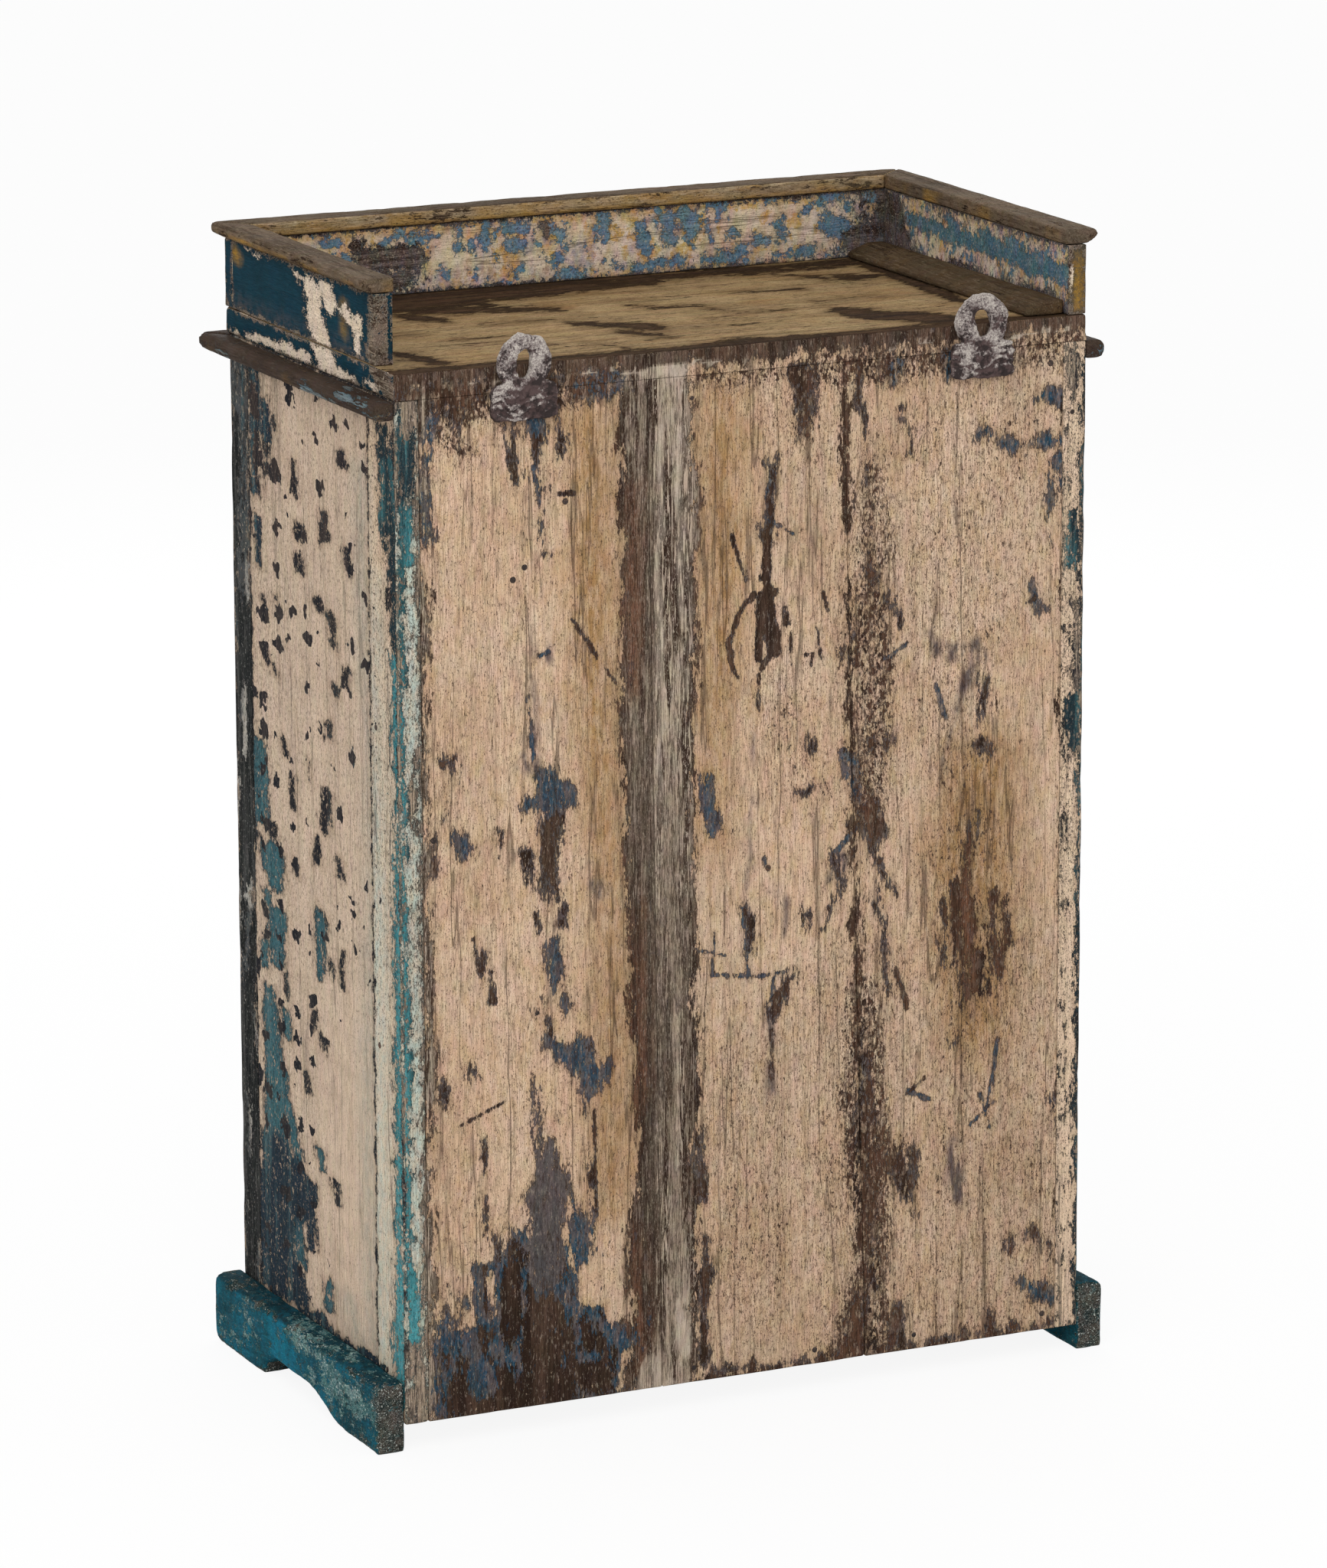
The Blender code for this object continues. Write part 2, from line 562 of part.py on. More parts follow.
for side, sign in (("left", -1), ("right", 1)):
    door = side + "_door"
    axis = door + "_axis"

    def add(obj, colour, roughness=0.8, metallic=0.0):
        return ride(paint(obj, colour, roughness, metallic), axis)

    stiles = (("_meeting_stile", DOOR_INNER, near_stile, 1), ("_hinge_stile", DOOR_OUTER, far_stile, -1))
    for ending, edge, glass_edge, way in stiles:
        section = [
            (edge, FACE),
            (glass_edge, FACE),
            (glass_edge, GLASS_SEAT),
            (glass_edge - way * REBATE_WIDTH, GLASS_SEAT),
            (glass_edge - way * REBATE_WIDTH, DOOR_REAR),
            (edge, DOOR_REAR),
        ]
        stile = prism(door + ending, [flip(section, sign)], "xy", DOOR_LOW, DOOR_HIGH)
        add(stile, PETROL)
        if side == "right" and ending == "_meeting_stile":
            profile = arc(BUTTON_X, BUTTON_Z, SCREW_RADIUS + FIT_GAP, 0, 345, 23)
            pilot = prism("turn_button_pilot", [profile], "xz", FACE - SCREW_BITE,
                          FACE + SCREW_BITE + FIT_GAP, cutters)
            boolean(stile, pilot, "DIFFERENCE")

    rails = (
        ("_bottom_rail", DOOR_LOW, glass_low, glass_low - REBATE_WIDTH),
        ("_top_rail", DOOR_HIGH, glass_high, glass_high + REBATE_WIDTH),
    )
    for ending, edge, glass_edge, seat_edge in rails:
        low, high = sorted((edge, glass_edge))
        near, far = sorted((sign * (near_stile + FIT_GAP), sign * (far_stile - FIT_GAP)))
        rail = block(door + ending, (near, FACE, low), (far, GLASS_SEAT, high))
        low, high = sorted((edge, seat_edge))
        reach = REBATE_WIDTH
        near, far = sorted((sign * (near_stile - reach + FIT_GAP), sign * (far_stile + reach - FIT_GAP)))
        overlap = REBATE_DEPTH / 2
        shoulder = block(door + ending + "_shoulder", (near, GLASS_SEAT - overlap, low),
                         (far, DOOR_REAR, high), cutters)
        lap = block(door + ending + "_lap", (near - overlap, GLASS_SEAT - 2 * overlap, low - overlap),
                    (far + overlap, GLASS_SEAT + FIT_GAP, high + overlap), cutters)
        boolean(shoulder, lap, "DIFFERENCE")
        tongue = block(door + ending + "_tongue", (near + 2 * reach, GLASS_SEAT - overlap, low + overlap / 2),
                       (far - 2 * reach, DOOR_REAR - overlap, high - overlap / 2), cutters)
        boolean(rail, tongue, "UNION")
        boolean(rail, shoulder, "UNION")
        add(rail, PETROL)

    near, far = sorted((sign * (near_stile + FIT_GAP), sign * (far_stile - FIT_GAP)))
    bar_z = glass_low + BAR_SHARE * (glass_high - glass_low)
    bar = block(door + "_glazing_bar", (near, FACE, bar_z - BAR_HEIGHT / 2),
                (far, GLASS_SEAT, bar_z + BAR_HEIGHT / 2))
    add(ease(bar), OCHRE)

    seat = REBATE_WIDTH - GLASS_PLAY
    glass_front = GLASS_SEAT + FIT_GAP
    glass_rear = glass_front + GLASS_THICKNESS
    near, far = sorted((sign * (near_stile - seat), sign * (far_stile + seat)))
    pane = block(door + "_glass", (near, glass_front, glass_low - seat), (far, glass_rear, glass_high + seat))
    add(pane, GLASS, 0.05)

    edge = REBATE_WIDTH - FIT_GAP
    frame = [
        (near_stile - edge, glass_low - edge),
        (far_stile + edge, glass_low - edge),
        (far_stile + edge, glass_high + edge),
        (near_stile - edge, glass_high + edge),
    ]
    window = [
        (near_stile, glass_low),
        (far_stile, glass_low),
        (far_stile, glass_high),
        (near_stile, glass_high),
    ]
    bead = prism(door + "_glass_bead", [flip(frame, sign), flip(window, sign)], "xz",
                 glass_rear + FIT_GAP, DOOR_REAR)
    add(bead, OCHRE)

    knob_z = BUTTON_Z - KNOB_DROP
    foot_radius = KNOB_RADIUS * 0.62
    knob = [(0.0, 0.0), (foot_radius, 0.0), (foot_radius, -KNOB_LENGTH * 0.12)]
    knob += [(KNOB_RADIUS * 0.48, -KNOB_LENGTH * 0.30)]
    swell = KNOB_LENGTH * 0.33
    for step in range(9):
        angle = math.radians(-50 + 140 * step / 8)
        radius = KNOB_RADIUS * math.cos(angle) if step < 8 else 0.0
        knob.append((radius, -KNOB_LENGTH + swell * (1 - math.sin(angle))))
    add(turned(door + "_knob", knob, "Y", (sign * BUTTON_X, FACE - FIT_GAP, knob_z)), BARE, 0.5)

    # Flat hinges on the face, with the barrel over the gap
    for level, middle in hinge_levels:
        hinge = f"{side}_{level}_hinge"
        low = middle - LEAF_HEIGHT / 2
        third = LEAF_HEIGHT / 3
        leaf_back = AXIS_Y + KNUCKLE_RADIUS
        leaf_front = leaf_back - LEAF_THICKNESS
        lift = math.degrees(math.asin((leaf_front - AXIS_Y) / KNUCKLE_RADIUS))
        for ending, way in (("_fixed_leaf", 1), ("_moving_leaf", -1)):
            barrel = arc(0.0, AXIS_Y, KNUCKLE_RADIUS, lift, -270, 28)
            outline = [(way * u + AXIS_X, v) for u, v in barrel]
            outline += [(AXIS_X + way * LEAF_WIDTH, leaf_back), (AXIS_X + way * LEAF_WIDTH, leaf_front)]
            hole = arc(AXIS_X, AXIS_Y, PIN_RADIUS + FIT_GAP, 0, 345, 23)
            leaf = prism(hinge + ending, [flip(outline, sign), flip(hole, sign)], "xy", low, low + LEAF_HEIGHT)
            paint(leaf, IRON, 0.7, 0.8)
            clear = KNUCKLE_RADIUS + FIT_GAP
            if way == 1:
                gaps = [(low + third, low + 2 * third)]
            else:
                gaps = [(low - third, low + third + FIT_GAP), (low + 2 * third - FIT_GAP, low + 4 * third)]
                ride(leaf, axis)
            for count, (start, end) in enumerate(gaps):
                near, far = sorted((sign * (AXIS_X - clear), sign * (AXIS_X + clear)))
                notch = block(f"{hinge}{ending}_notch_{count}", (near, AXIS_Y - clear, start),
                              (far, AXIS_Y + clear, end), cutters)
                boolean(leaf, notch, "DIFFERENCE")
        head = LEAF_HEIGHT / 2 + FIT_GAP
        pin = [
            (0.0, head + PIN_HEAD_HEIGHT),
            (PIN_HEAD_RADIUS, head + PIN_HEAD_HEIGHT),
            (PIN_HEAD_RADIUS, head),
            (PIN_RADIUS, head),
            (PIN_RADIUS, -head),
            (PIN_HEAD_RADIUS, -head),
            (PIN_HEAD_RADIUS, -head - PIN_HEAD_HEIGHT),
            (0.0, -head - PIN_HEAD_HEIGHT),
        ]
        paint(turned(hinge + "_pin", pin, "Z", (sign * AXIS_X, AXIS_Y, middle), 24, True), IRON, 0.6, 0.8)

# Turn button on the right door, upright and clear of the left door, with the screw it turns on
half_straight = BUTTON_LENGTH / 2 - BUTTON_WIDTH / 2
outline = arc(BUTTON_X, BUTTON_Z + half_straight, BUTTON_WIDTH / 2, 0, 180, 12)
outline += arc(BUTTON_X, BUTTON_Z - half_straight, BUTTON_WIDTH / 2, 180, 360, 12)
hole = arc(BUTTON_X, BUTTON_Z, SCREW_RADIUS + FIT_GAP, 0, 345, 23)
button_back = FACE - FIT_GAP
button_front = button_back - BUTTON_THICKNESS
button = prism("turn_button", [outline, hole], "xz", button_front, button_back)
ride(paint(button, BARE, 0.6), "turn_button_axis")

head_under = button_front - FIT_GAP - FACE
screw_profile = [
    (0.0, SCREW_BITE),
    (SCREW_RADIUS, SCREW_BITE),
    (SCREW_RADIUS, head_under),
    (SCREW_HEAD_RADIUS, head_under),
    (SCREW_HEAD_RADIUS * 0.8, head_under - SCREW_HEAD_HEIGHT * 0.7),
    (0.0, head_under - SCREW_HEAD_HEIGHT),
]
screw_obj = turned("turn_button_screw", screw_profile, "Y", (BUTTON_X, FACE, BUTTON_Z), 24, True)
ride(paint(screw_obj, IRON, 0.5, 0.8), "right_door_axis")
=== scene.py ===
import math

import bmesh
import bpy
import numpy as np
from mathutils import Matrix, Vector


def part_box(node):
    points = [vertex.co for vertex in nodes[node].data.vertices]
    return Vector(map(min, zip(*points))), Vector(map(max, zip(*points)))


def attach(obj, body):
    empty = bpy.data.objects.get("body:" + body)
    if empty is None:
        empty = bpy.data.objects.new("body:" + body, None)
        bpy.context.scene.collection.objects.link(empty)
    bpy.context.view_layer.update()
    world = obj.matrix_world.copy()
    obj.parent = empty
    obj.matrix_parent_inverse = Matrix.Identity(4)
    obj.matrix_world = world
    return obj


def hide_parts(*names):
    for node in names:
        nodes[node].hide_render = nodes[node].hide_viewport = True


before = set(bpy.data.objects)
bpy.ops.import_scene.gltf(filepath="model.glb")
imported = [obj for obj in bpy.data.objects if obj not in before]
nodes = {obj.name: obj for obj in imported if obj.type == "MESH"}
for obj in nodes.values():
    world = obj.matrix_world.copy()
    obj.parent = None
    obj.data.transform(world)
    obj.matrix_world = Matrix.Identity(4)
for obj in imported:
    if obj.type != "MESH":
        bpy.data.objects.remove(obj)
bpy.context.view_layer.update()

scene = bpy.context.scene
print("frame loaded,", len(nodes), "nodes")


class Wire:
    # an output socket; sums and products on it add Math nodes
    def __init__(self, sheet, socket):
        self.sheet, self.socket = sheet, socket

    def sum(self, way, first, second=0.0):
        return self.sheet.add("ShaderNodeMath", {"operation": way}, {0: first, 1: second})

    def __add__(self, other):
        return self.sum("ADD", self, other)

    def __radd__(self, other):
        return self.sum("ADD", other, self)

    def __sub__(self, other):
        return self.sum("SUBTRACT", self, other)

    def __rsub__(self, other):
        return self.sum("SUBTRACT", other, self)

    def __mul__(self, other):
        return self.sum("MULTIPLY", self, other)

    def __rmul__(self, other):
        return self.sum("MULTIPLY", other, self)

    def __truediv__(self, other):
        return self.sum("DIVIDE", self, other)

    def least(self, other):
        return self.sum("MINIMUM", self, other)

    def most(self, other):
        return self.sum("MAXIMUM", self, other)

    def size(self):
        return self.sum("ABSOLUTE", self)

    def fade(self, low, high):  # 0 below low, 1 above high
        return self.sheet.add("ShaderNodeMapRange", {"interpolation_type": "SMOOTHSTEP"},
                              {"Value": self, "From Min": low, "From Max": high})


class Sheet:
    # one node tree, filled node by node
    def __init__(self, tree):
        self.tree = tree
        tree.nodes.clear()

    def add(self, kind, settings=None, sockets=None, out=0):
        node = self.tree.nodes.new(kind)
        for key, value in (settings or {}).items():
            setattr(node, key, value)
        for key, value in (sockets or {}).items():
            if isinstance(value, Wire):
                self.tree.links.new(value.socket, node.inputs[key])
            else:
                node.inputs[key].default_value = value
        return Wire(self, node.outputs[out]) if node.outputs else node


class Finish(Sheet):
    # a material on Object coordinates
    def __init__(self, name):
        self.mat = bpy.data.materials.new(name)
        self.mat.use_nodes = True
        super().__init__(self.mat.node_tree)
        self.place = self.add("ShaderNodeTexCoord", out="Object")

    def vec(self, way, first, second):
        return self.add("ShaderNodeVectorMath", {"operation": way}, {0: first, 1: second})

    def noise(self, place, scale, detail=4.0, rough=0.6):
        return self.add("ShaderNodeTexNoise", {},
                        {"Vector": place, "Scale": scale, "Detail": detail, "Roughness": rough})

    def tinted(self, place, scale):  # three noises at once, as a vector
        return self.add("ShaderNodeTexNoise", {}, {"Vector": place, "Scale": scale, "Detail": 2.0}, "Color")

    def mix(self, amount, first, second, way="MIX"):
        first, second = [(*c, 1.0) if isinstance(c, tuple) else c for c in (first, second)]
        return self.add("ShaderNodeMix", {"data_type": "RGBA", "blend_type": way, "clamp_factor": True},
                        {0: amount, 6: first, 7: second}, 2)

    def mark(self, name):  # the four numbers of a painted-on attribute
        read = {"attribute_name": name}
        colour = self.add("ShaderNodeAttribute", read)
        parts = [self.add("ShaderNodeSeparateColor", {}, {0: colour}, n) for n in range(3)]
        return parts + [self.add("ShaderNodeAttribute", read, out="Alpha")]

    def bump(self, height, strength, depth):
        return self.add("ShaderNodeBump", {}, {"Strength": strength, "Distance": depth, "Height": height})

    def done(self, linked, fixed=None):
        shader = self.add("ShaderNodeBsdfPrincipled", {}, {**linked, **(fixed or {})})
        self.add("ShaderNodeOutputMaterial", {}, {"Surface": shader})
        return self.mat


# three coats: bare wood, undercoat, top coat. Where a piece carries marks, they say which coat is gone.
def oldPaint(name, look, marked=False, box=None):
    f = Finish(name)
    moved = f.vec("ADD", f.place, look["shift"])
    along = f.vec("MULTIPLY", moved, look["grain"])
    chips = f.vec("MULTIPLY", moved, look["chip"])
    fibre = f.noise(along, 620, 4)
    streak = f.noise(along, 85, 5)
    wide = f.noise(along, 26, 4)
    cloud = f.noise(moved, 13, 5)
    flake = f.noise(chips, look["flakeScale"], 6, 0.7)
    grit = f.noise(chips, look["flakeScale"] * 4.2, 4, 0.7)
    mottle = f.noise(chips, look["flakeScale"] * 1.7, 5, 0.7)
    pepper = f.noise(chips, 560, 3, 0.75)
    speck = f.noise(f.vec("MULTIPLY", moved, look["crumb"]), look["speckScale"], 4, 0.68)
    fine = f.noise(moved, 900, 3, 0.7)
    prick = f.noise(f.vec("MULTIPLY", moved, look["crumb"]), 1150, 2, 0.6)
    hue = f.tinted(f.vec("MULTIPLY", moved, look["crumb"]), 120)  # warm and cool spots
    spots = f.noise(f.vec("MULTIPLY", moved, look["crumb"]), 75, 5, 0.68)
    isle = f.noise(f.vec("MULTIPLY", moved, look["crumb"]), look["speckScale"] * 0.55, 4, 0.62)
    if marked:
        lossMark, bareMark, dotted, weather = f.mark("wear")
        ochre, smudge_and_shade, shade, red = f.mark("tint")
        loss, bare = (lossMark - 0.5) * 2.0, (bareMark - 0.5) * 2.0
        dots = look["dots"] + dotted * 0.28
        pale = weather.fade(0.72, 0.95)
        weather = weather.least(0.65) / 0.65
    else:
        near = edgeNear(f, box)
        loss = (look["rub"] * (0.1 + cloud.fade(0.40, 0.62) * 2.0) - near) / 0.008
        loss = loss.most((cloud - 0.5) * 3.0 + look["worn"]).most(-1.2)
        bare = loss - 0.35 + (cloud - 0.5) * 1.5
        dots, dotted, pale = look["dots"], 0.0, 0.0
        ochre, smudge_and_shade = streak.fade(0.62, 0.75) * look["ochre"], cloud.fade(0.62, 0.72) * look["smudge_and_shade"]
        weather, red, shade = streak.fade(0.45, 0.65) * 0.5, cloud.fade(0.5, 0.7) * 0.5, cloud.fade(0.4, 0.6)
    if "scatter" in look:  # loose patches all over, and spots of yellow
        patch = f.noise(chips, look["patchScale"], 5, 0.64)
        loss = loss.most((patch - look["scatter"]) * 7.0)
        yellow = f.noise(f.vec("ADD", chips, (0.7, 0.2, 0.4)), look["patchScale"] * 0.9, 4)
        ochre = ochre.most(yellow.fade(0.53, 0.58) * look["gold"])
    ragged = (flake - 0.5) * look["ragged"] + (grit - 0.5) * (look["ragged"] * 0.6)
    crumbs = speck + dots + (streak - 0.5) * 0.3 + (cloud - 0.5) * 0.3
    chipped = loss + ragged
    lost = chipped.fade(-0.05, 0.07).most(crumbs.fade(0.70, 0.73))
    islands = grit.fade(look["isle"], look["isle"] + 0.05) * look["leftover"]
    islands = islands.most(isle.fade(0.53, 0.57) * dotted * look["loose"])
    lost = lost - lost * islands * (1.0 - weather)
    gone = (bare + ragged * 1.1).fade(-0.06, 0.06)
    gone = (gone - gone * mottle.fade(0.62, 0.66) * (1.0 - weather)).most(mottle.fade(0.57, 0.61) * look["patchy"])
    gone = gone.most(crumbs.fade(0.725, 0.755)) * lost
    if "chipScale" in look:  # small clean chips, one to a cell
        sway = f.vec("MULTIPLY", f.tinted(moved, 95), (0.012, 0.012, 0.012))
        cells = f.vec("ADD", f.vec("MULTIPLY", moved, look["chipShape"]), sway)
        upright = {n: f.add("ShaderNodeSeparateXYZ", {}, {0: cells}, n + 1) for n in range(2)}
        cells = f.add("ShaderNodeCombineXYZ", {}, upright)
        near = [f.add("ShaderNodeTexVoronoi", {"voronoi_dimensions": "2D"},
                      {"Vector": cells, "Scale": look["chipScale"]}, part) for part in ("Distance", "Color")]
        size = (f.add("ShaderNodeSeparateColor", {}, {0: near[1]}) - 1.0 + dotted) * look["chipSize"]
        lost = lost.most((size - near[0]).fade(0.0, 0.03))
        gone = gone.most((size - near[0]).fade(0.015, 0.045))
    rim = 1.0 - (chipped.size() * 5.0).fade(0.1, 0.9)
    dirt = (loss + ragged * 0.5).fade(-0.75, 0.1)

    line = 1.0 - (fibre - 0.5).size().fade(0.004, 0.045)  # hair cracks along the grain
    split = (1.0 - (wide - 0.5).size().fade(0.002, 0.012)) * streak.fade(0.42, 0.56)  # and longer ones
    coat = f.mix(cloud.fade(0.36, 0.64), look["coat"][0], look["coat"][1])
    coat = f.mix(spots.fade(0.48, 0.66) * 0.7, coat, look["warm"])
    coat = f.mix(streak.fade(0.46, 0.70) * look["streaky"], coat, look["coat"][2])
    chalky = (1.0 - pepper + dotted * 0.08).fade(0.58, 0.70) * 0.6
    coat = f.mix((fibre.fade(0.52, 0.72) * 0.3).most(chalky), coat, look["chalk"])
    coat = f.mix(ochre * (0.45 + mottle.fade(0.38, 0.62) * 0.55), coat, look["stain"])
    soil = (wide.fade(0.5, 0.72) + cloud.fade(0.46, 0.66)) * (look["grime"] * 0.5) + dirt * 0.25
    soil = soil + red * (0.3 + streak.fade(0.4, 0.6) * 0.2 + mottle.fade(0.4, 0.6) * 0.2)
    coat = f.mix(soil, coat, look["soil"])
    # grey smudges; on the gallery lining this channel also paints shade into the corners
    coat = f.mix(smudge_and_shade * flake.fade(0.36, 0.6), coat, look["grey"])
    coat = f.mix((line * streak.fade(0.4, 0.6) * 0.55).most(split) * look["crack"], coat, look["wood"][0])
    pinholes = (pepper + dotted * 0.09).fade(0.58, 0.67).most((prick + dotted * 0.07).fade(0.60, 0.68))
    coat = f.mix(pinholes * look["crack"] * 1.4, coat, look["wood"][1])
    under = f.mix(shade * (1.0 - look["veil"] * mottle.fade(0.56, 0.44)), look["under"][0], look["under"][1])
    under = f.mix(streak.fade(0.48, 0.7) * 0.6, under, look["under"][2])
    under = f.mix(pepper.fade(0.52, 0.66) * 0.7, under, look["wood"][0])
    wood = f.mix(streak.fade(0.38, 0.62), look["wood"][0], look["wood"][1])
    worn = (streak.fade(0.50, 0.56) * 0.75).most(fibre.fade(0.53, 0.60) * 0.85)
    worn = worn.most(wide.fade(0.50, 0.60) * 0.45)
    wood = f.mix(weather * worn * (1.0 - red * 0.85), wood, look["wood"][2])
    wood = f.mix(red * streak.fade(0.35, 0.6) * 0.8, wood, look["wood"][3])
    wood = f.mix(weather * pepper.fade(0.53, 0.64) * (0.75 - red * 0.5), wood, look["dust"])
    wood = f.mix(line * 0.75, wood, look["wood"][0])
    colour = f.mix(gone, f.mix(lost, coat, under), wood)
    colour = f.mix((1.0 - pepper).fade(0.56, 0.68) * lost * look["flecks"], colour, look["dust"])
    colour = f.mix(pale * (0.3 + streak.fade(0.42, 0.6) * 0.6), colour, look["dust"])
    colour = f.mix(rim * 0.35, colour, look["wood"][0])
    colour = f.mix(look["hue"], colour, hue, "OVERLAY")
    colour = f.mix((1.0 - fine).fade(0.52, 0.72) * 0.55, colour, (0.30, 0.27, 0.25), "MULTIPLY")
    height = (1.0 - lost) + (1.0 - gone) * 0.6 + fibre * 0.5 + streak * 0.5 + pepper * 0.4
    height = height - line * 0.25 - split * 0.8
    rough = look["rough"] + lost * 0.12 + (fine - 0.5) * 0.3
    return f.done({"Base Color": colour, "Roughness": rough, "Normal": f.bump(height, 0.8, 0.0011)},
                  {"Specular IOR Level": 0.012})


def edgeNear(f, box):  # distance to the nearest edge of a box, in metres
    low, high = box
    parts = [f.add("ShaderNodeSeparateXYZ", {}, {0: f.place}, n) for n in range(3)]
    dx, dy, dz = [(p - a).least(b - p) for p, a, b in zip(parts, low, high)]
    return dx.least(dy).most(dx.most(dy).least(dz))


def lumps(points, size, seed, octaves=3):
    # soft random heights from 0 to 1, with lumps of about the given size
    points = np.asarray(points, float).reshape(len(points), -1)
    if points.shape[1] == 2:
        points = np.column_stack([points, np.zeros(len(points))])
    total, weight = 0.0, 0.0
    for octave in range(octaves):
        q = points / size * 2 ** octave + seed * 17.31 + octave * 5.7 + 900.0
        cell = np.floor(q).astype(np.int64)
        f = q - cell
        f = f * f * (3 - 2 * f)
        value = np.zeros(len(points))
        for corner in range(8):
            off = np.array([corner >> 2 & 1, corner >> 1 & 1, corner & 1])
            h = (cell + off) @ np.array([73856093, 19349663, 83492791])  # large odd numbers, to scatter the cells
            h = ((h ^ (h >> 13)) * 1274126177) & 0x7FFFFFFF
            h = h ^ (h >> 11)
            value += (h & 0xFFFF) / 65535.0 * np.prod(np.where(off, f, 1 - f), axis=1)
        total += value / 2 ** octave
        weight += 1 / 2 ** octave
    return total / weight


def strokes(u, v, marks, squeeze=1.0):
    # how far inside the nearest mark a point lies; a mark is two ends and a half width at each, in mm
    best = np.full(u.shape, -0.05)
    u = u * squeeze
    for x0, z0, x1, z1, w0, w1 in np.array(marks, float).reshape(-1, 6) / 1000 * (squeeze, 1, squeeze, 1, 1, 1):
        dx, dz = x1 - x0, z1 - z0
        t = np.clip(((u - x0) * dx + (v - z0) * dz) / (dx * dx + dz * dz + 1e-9), 0, 1)
        best = np.maximum(best, w0 + (w1 - w0) * t - np.hypot(u - x0 - dx * t, v - z0 - dz * t))
    return best


def ticks(low, high, step, extra=()):
    # places of the grid lines, closer together near both ends
    near = np.array([0.0, 0.0008, 0.0018, 0.0034])  # from each end, in metres
    near = near[near < (high - low) / 3]
    middle = np.linspace(low + near[-1], high - near[-1], max(2, int((high - low) / step)))
    every = np.concatenate([low + near, middle, high - near, [t for t in extra if low < t < high]])
    return np.unique(np.round(every, 6))


def gridBoard(low, high, step, extra=((), (), ())):
    # closed board with a grid on all six faces
    axes = [ticks(a, b, step, e) for a, b, e in zip(low, high, extra)]
    count = [len(a) for a in axes]
    quads = []
    for axis in range(3):
        a, b = [n for n in range(3) if n != axis]
        ia, ib = np.meshgrid(np.arange(count[a] - 1), np.arange(count[b] - 1), indexing="ij")
        for side in (0, count[axis] - 1):
            ring = []
            for da, db in ((0, 0), (1, 0), (1, 1), (0, 1)):
                spot = [0, 0, 0]
                spot[axis], spot[a], spot[b] = np.full(ia.shape, side), ia + da, ib + db
                ring.append((spot[0] * count[1] + spot[1]) * count[2] + spot[2])
            if (side == 0) != (axis == 1):
                ring.reverse()
            quads.append(np.stack(ring, -1).reshape(-1, 4))
    quads = np.concatenate(quads)
    used, back = np.unique(quads, return_inverse=True)
    i, rest = np.divmod(used, count[1] * count[2])
    j, k = np.divmod(rest, count[2])
    points = np.stack([axes[0][i], axes[1][j], axes[2][k]], -1)
    return points, back.reshape(-1, 4)


def cornerGap(points, low, high):  # distance to the nearest edge of the board
    return np.sort(np.minimum(points - low, high - points), axis=1)[:, 1]


def rubEdges(points, low, high, reach, seed, sharp=None):
    # rounds the edges by an amount that changes along them
    r = 0.0005 + reach * lumps(points, 0.03, seed) ** 3 * 2.2
    if sharp is not None:
        r = np.where(sharp, 0.0001, r)
    r = np.minimum(r, np.min(np.array(high) - low) * 0.3)[:, None]
    inner = np.clip(points, low + r, high - r)
    out = points - inner
    length = np.linalg.norm(out, axis=1, keepdims=True)
    return np.where(length > r, inner + out * r / np.maximum(length, 1e-9), points)


def putMarks(piece, **sets):  # each set is four rows of numbers from 0 to 1
    for name, rows in sets.items():
        data = np.clip(np.column_stack(rows), 0, 1).astype(np.float32)
        layer = piece.data.attributes.new(name, "FLOAT_COLOR", "POINT")
        layer.data.foreach_set("color", data.ravel())


def choose(pick, first, second):  # row by row, first where pick is true
    return [np.where(pick, a, b) for a, b in zip(first, second)]


def boardBox(node):
    return [np.array(c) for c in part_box(node)]


def makePiece(name, points, faces, body, cadNodes, finishes, pick=None):
    mesh = bpy.data.meshes.new(name)
    mesh.from_pydata(points.tolist(), [], faces.tolist())
    mesh.polygons.foreach_set("use_smooth", np.ones(len(faces), bool))
    for finish in finishes:
        mesh.materials.append(finish)
    if pick is not None:
        mesh.polygons.foreach_set("material_index", pick.astype(np.int32))
    mesh.update()
    piece = bpy.data.objects.new(name, mesh)
    scene.collection.objects.link(piece)
    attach(piece, body)
    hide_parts(*cadNodes)
    return piece


def faceAim(points, faces):  # outward direction of each face
    a, b, c, d = [points[faces[:, n]] for n in range(4)]
    aim = np.cross(c - a, d - b)
    return aim / np.maximum(np.linalg.norm(aim, axis=1, keepdims=True), 1e-12)


def level(distance, reach=0.01):  # metres inside a mark, as a number with the edge at a half
    return 0.5 + distance / (2 * reach)


def inMark(distance, reach=0.01):  # the same, kept between 0 and 1
    return np.clip(level(distance, reach), 0, 1)


tone = {
    "cream": (0.635, 0.46, 0.325), "peach": (0.655, 0.445, 0.30), "sand": (0.53, 0.37, 0.24),
    "slate": (0.115, 0.094, 0.090), "blue": (0.017, 0.070, 0.115), "teal": (0.036, 0.125, 0.165),
    "petrol": (0.007, 0.040, 0.062), "navy": (0.022, 0.036, 0.05), "darkWood": (0.030, 0.018, 0.013),
    "brownWood": (0.085, 0.052, 0.036), "greyWood": (0.41, 0.31, 0.22), "redWood": (0.165, 0.075, 0.042),
    "ochre": (0.40, 0.215, 0.035), "rustStain": (0.30, 0.165, 0.065), "violetGrey": (0.125, 0.097, 0.09),
    "sootAndShade": (0.035, 0.022, 0.014),
}

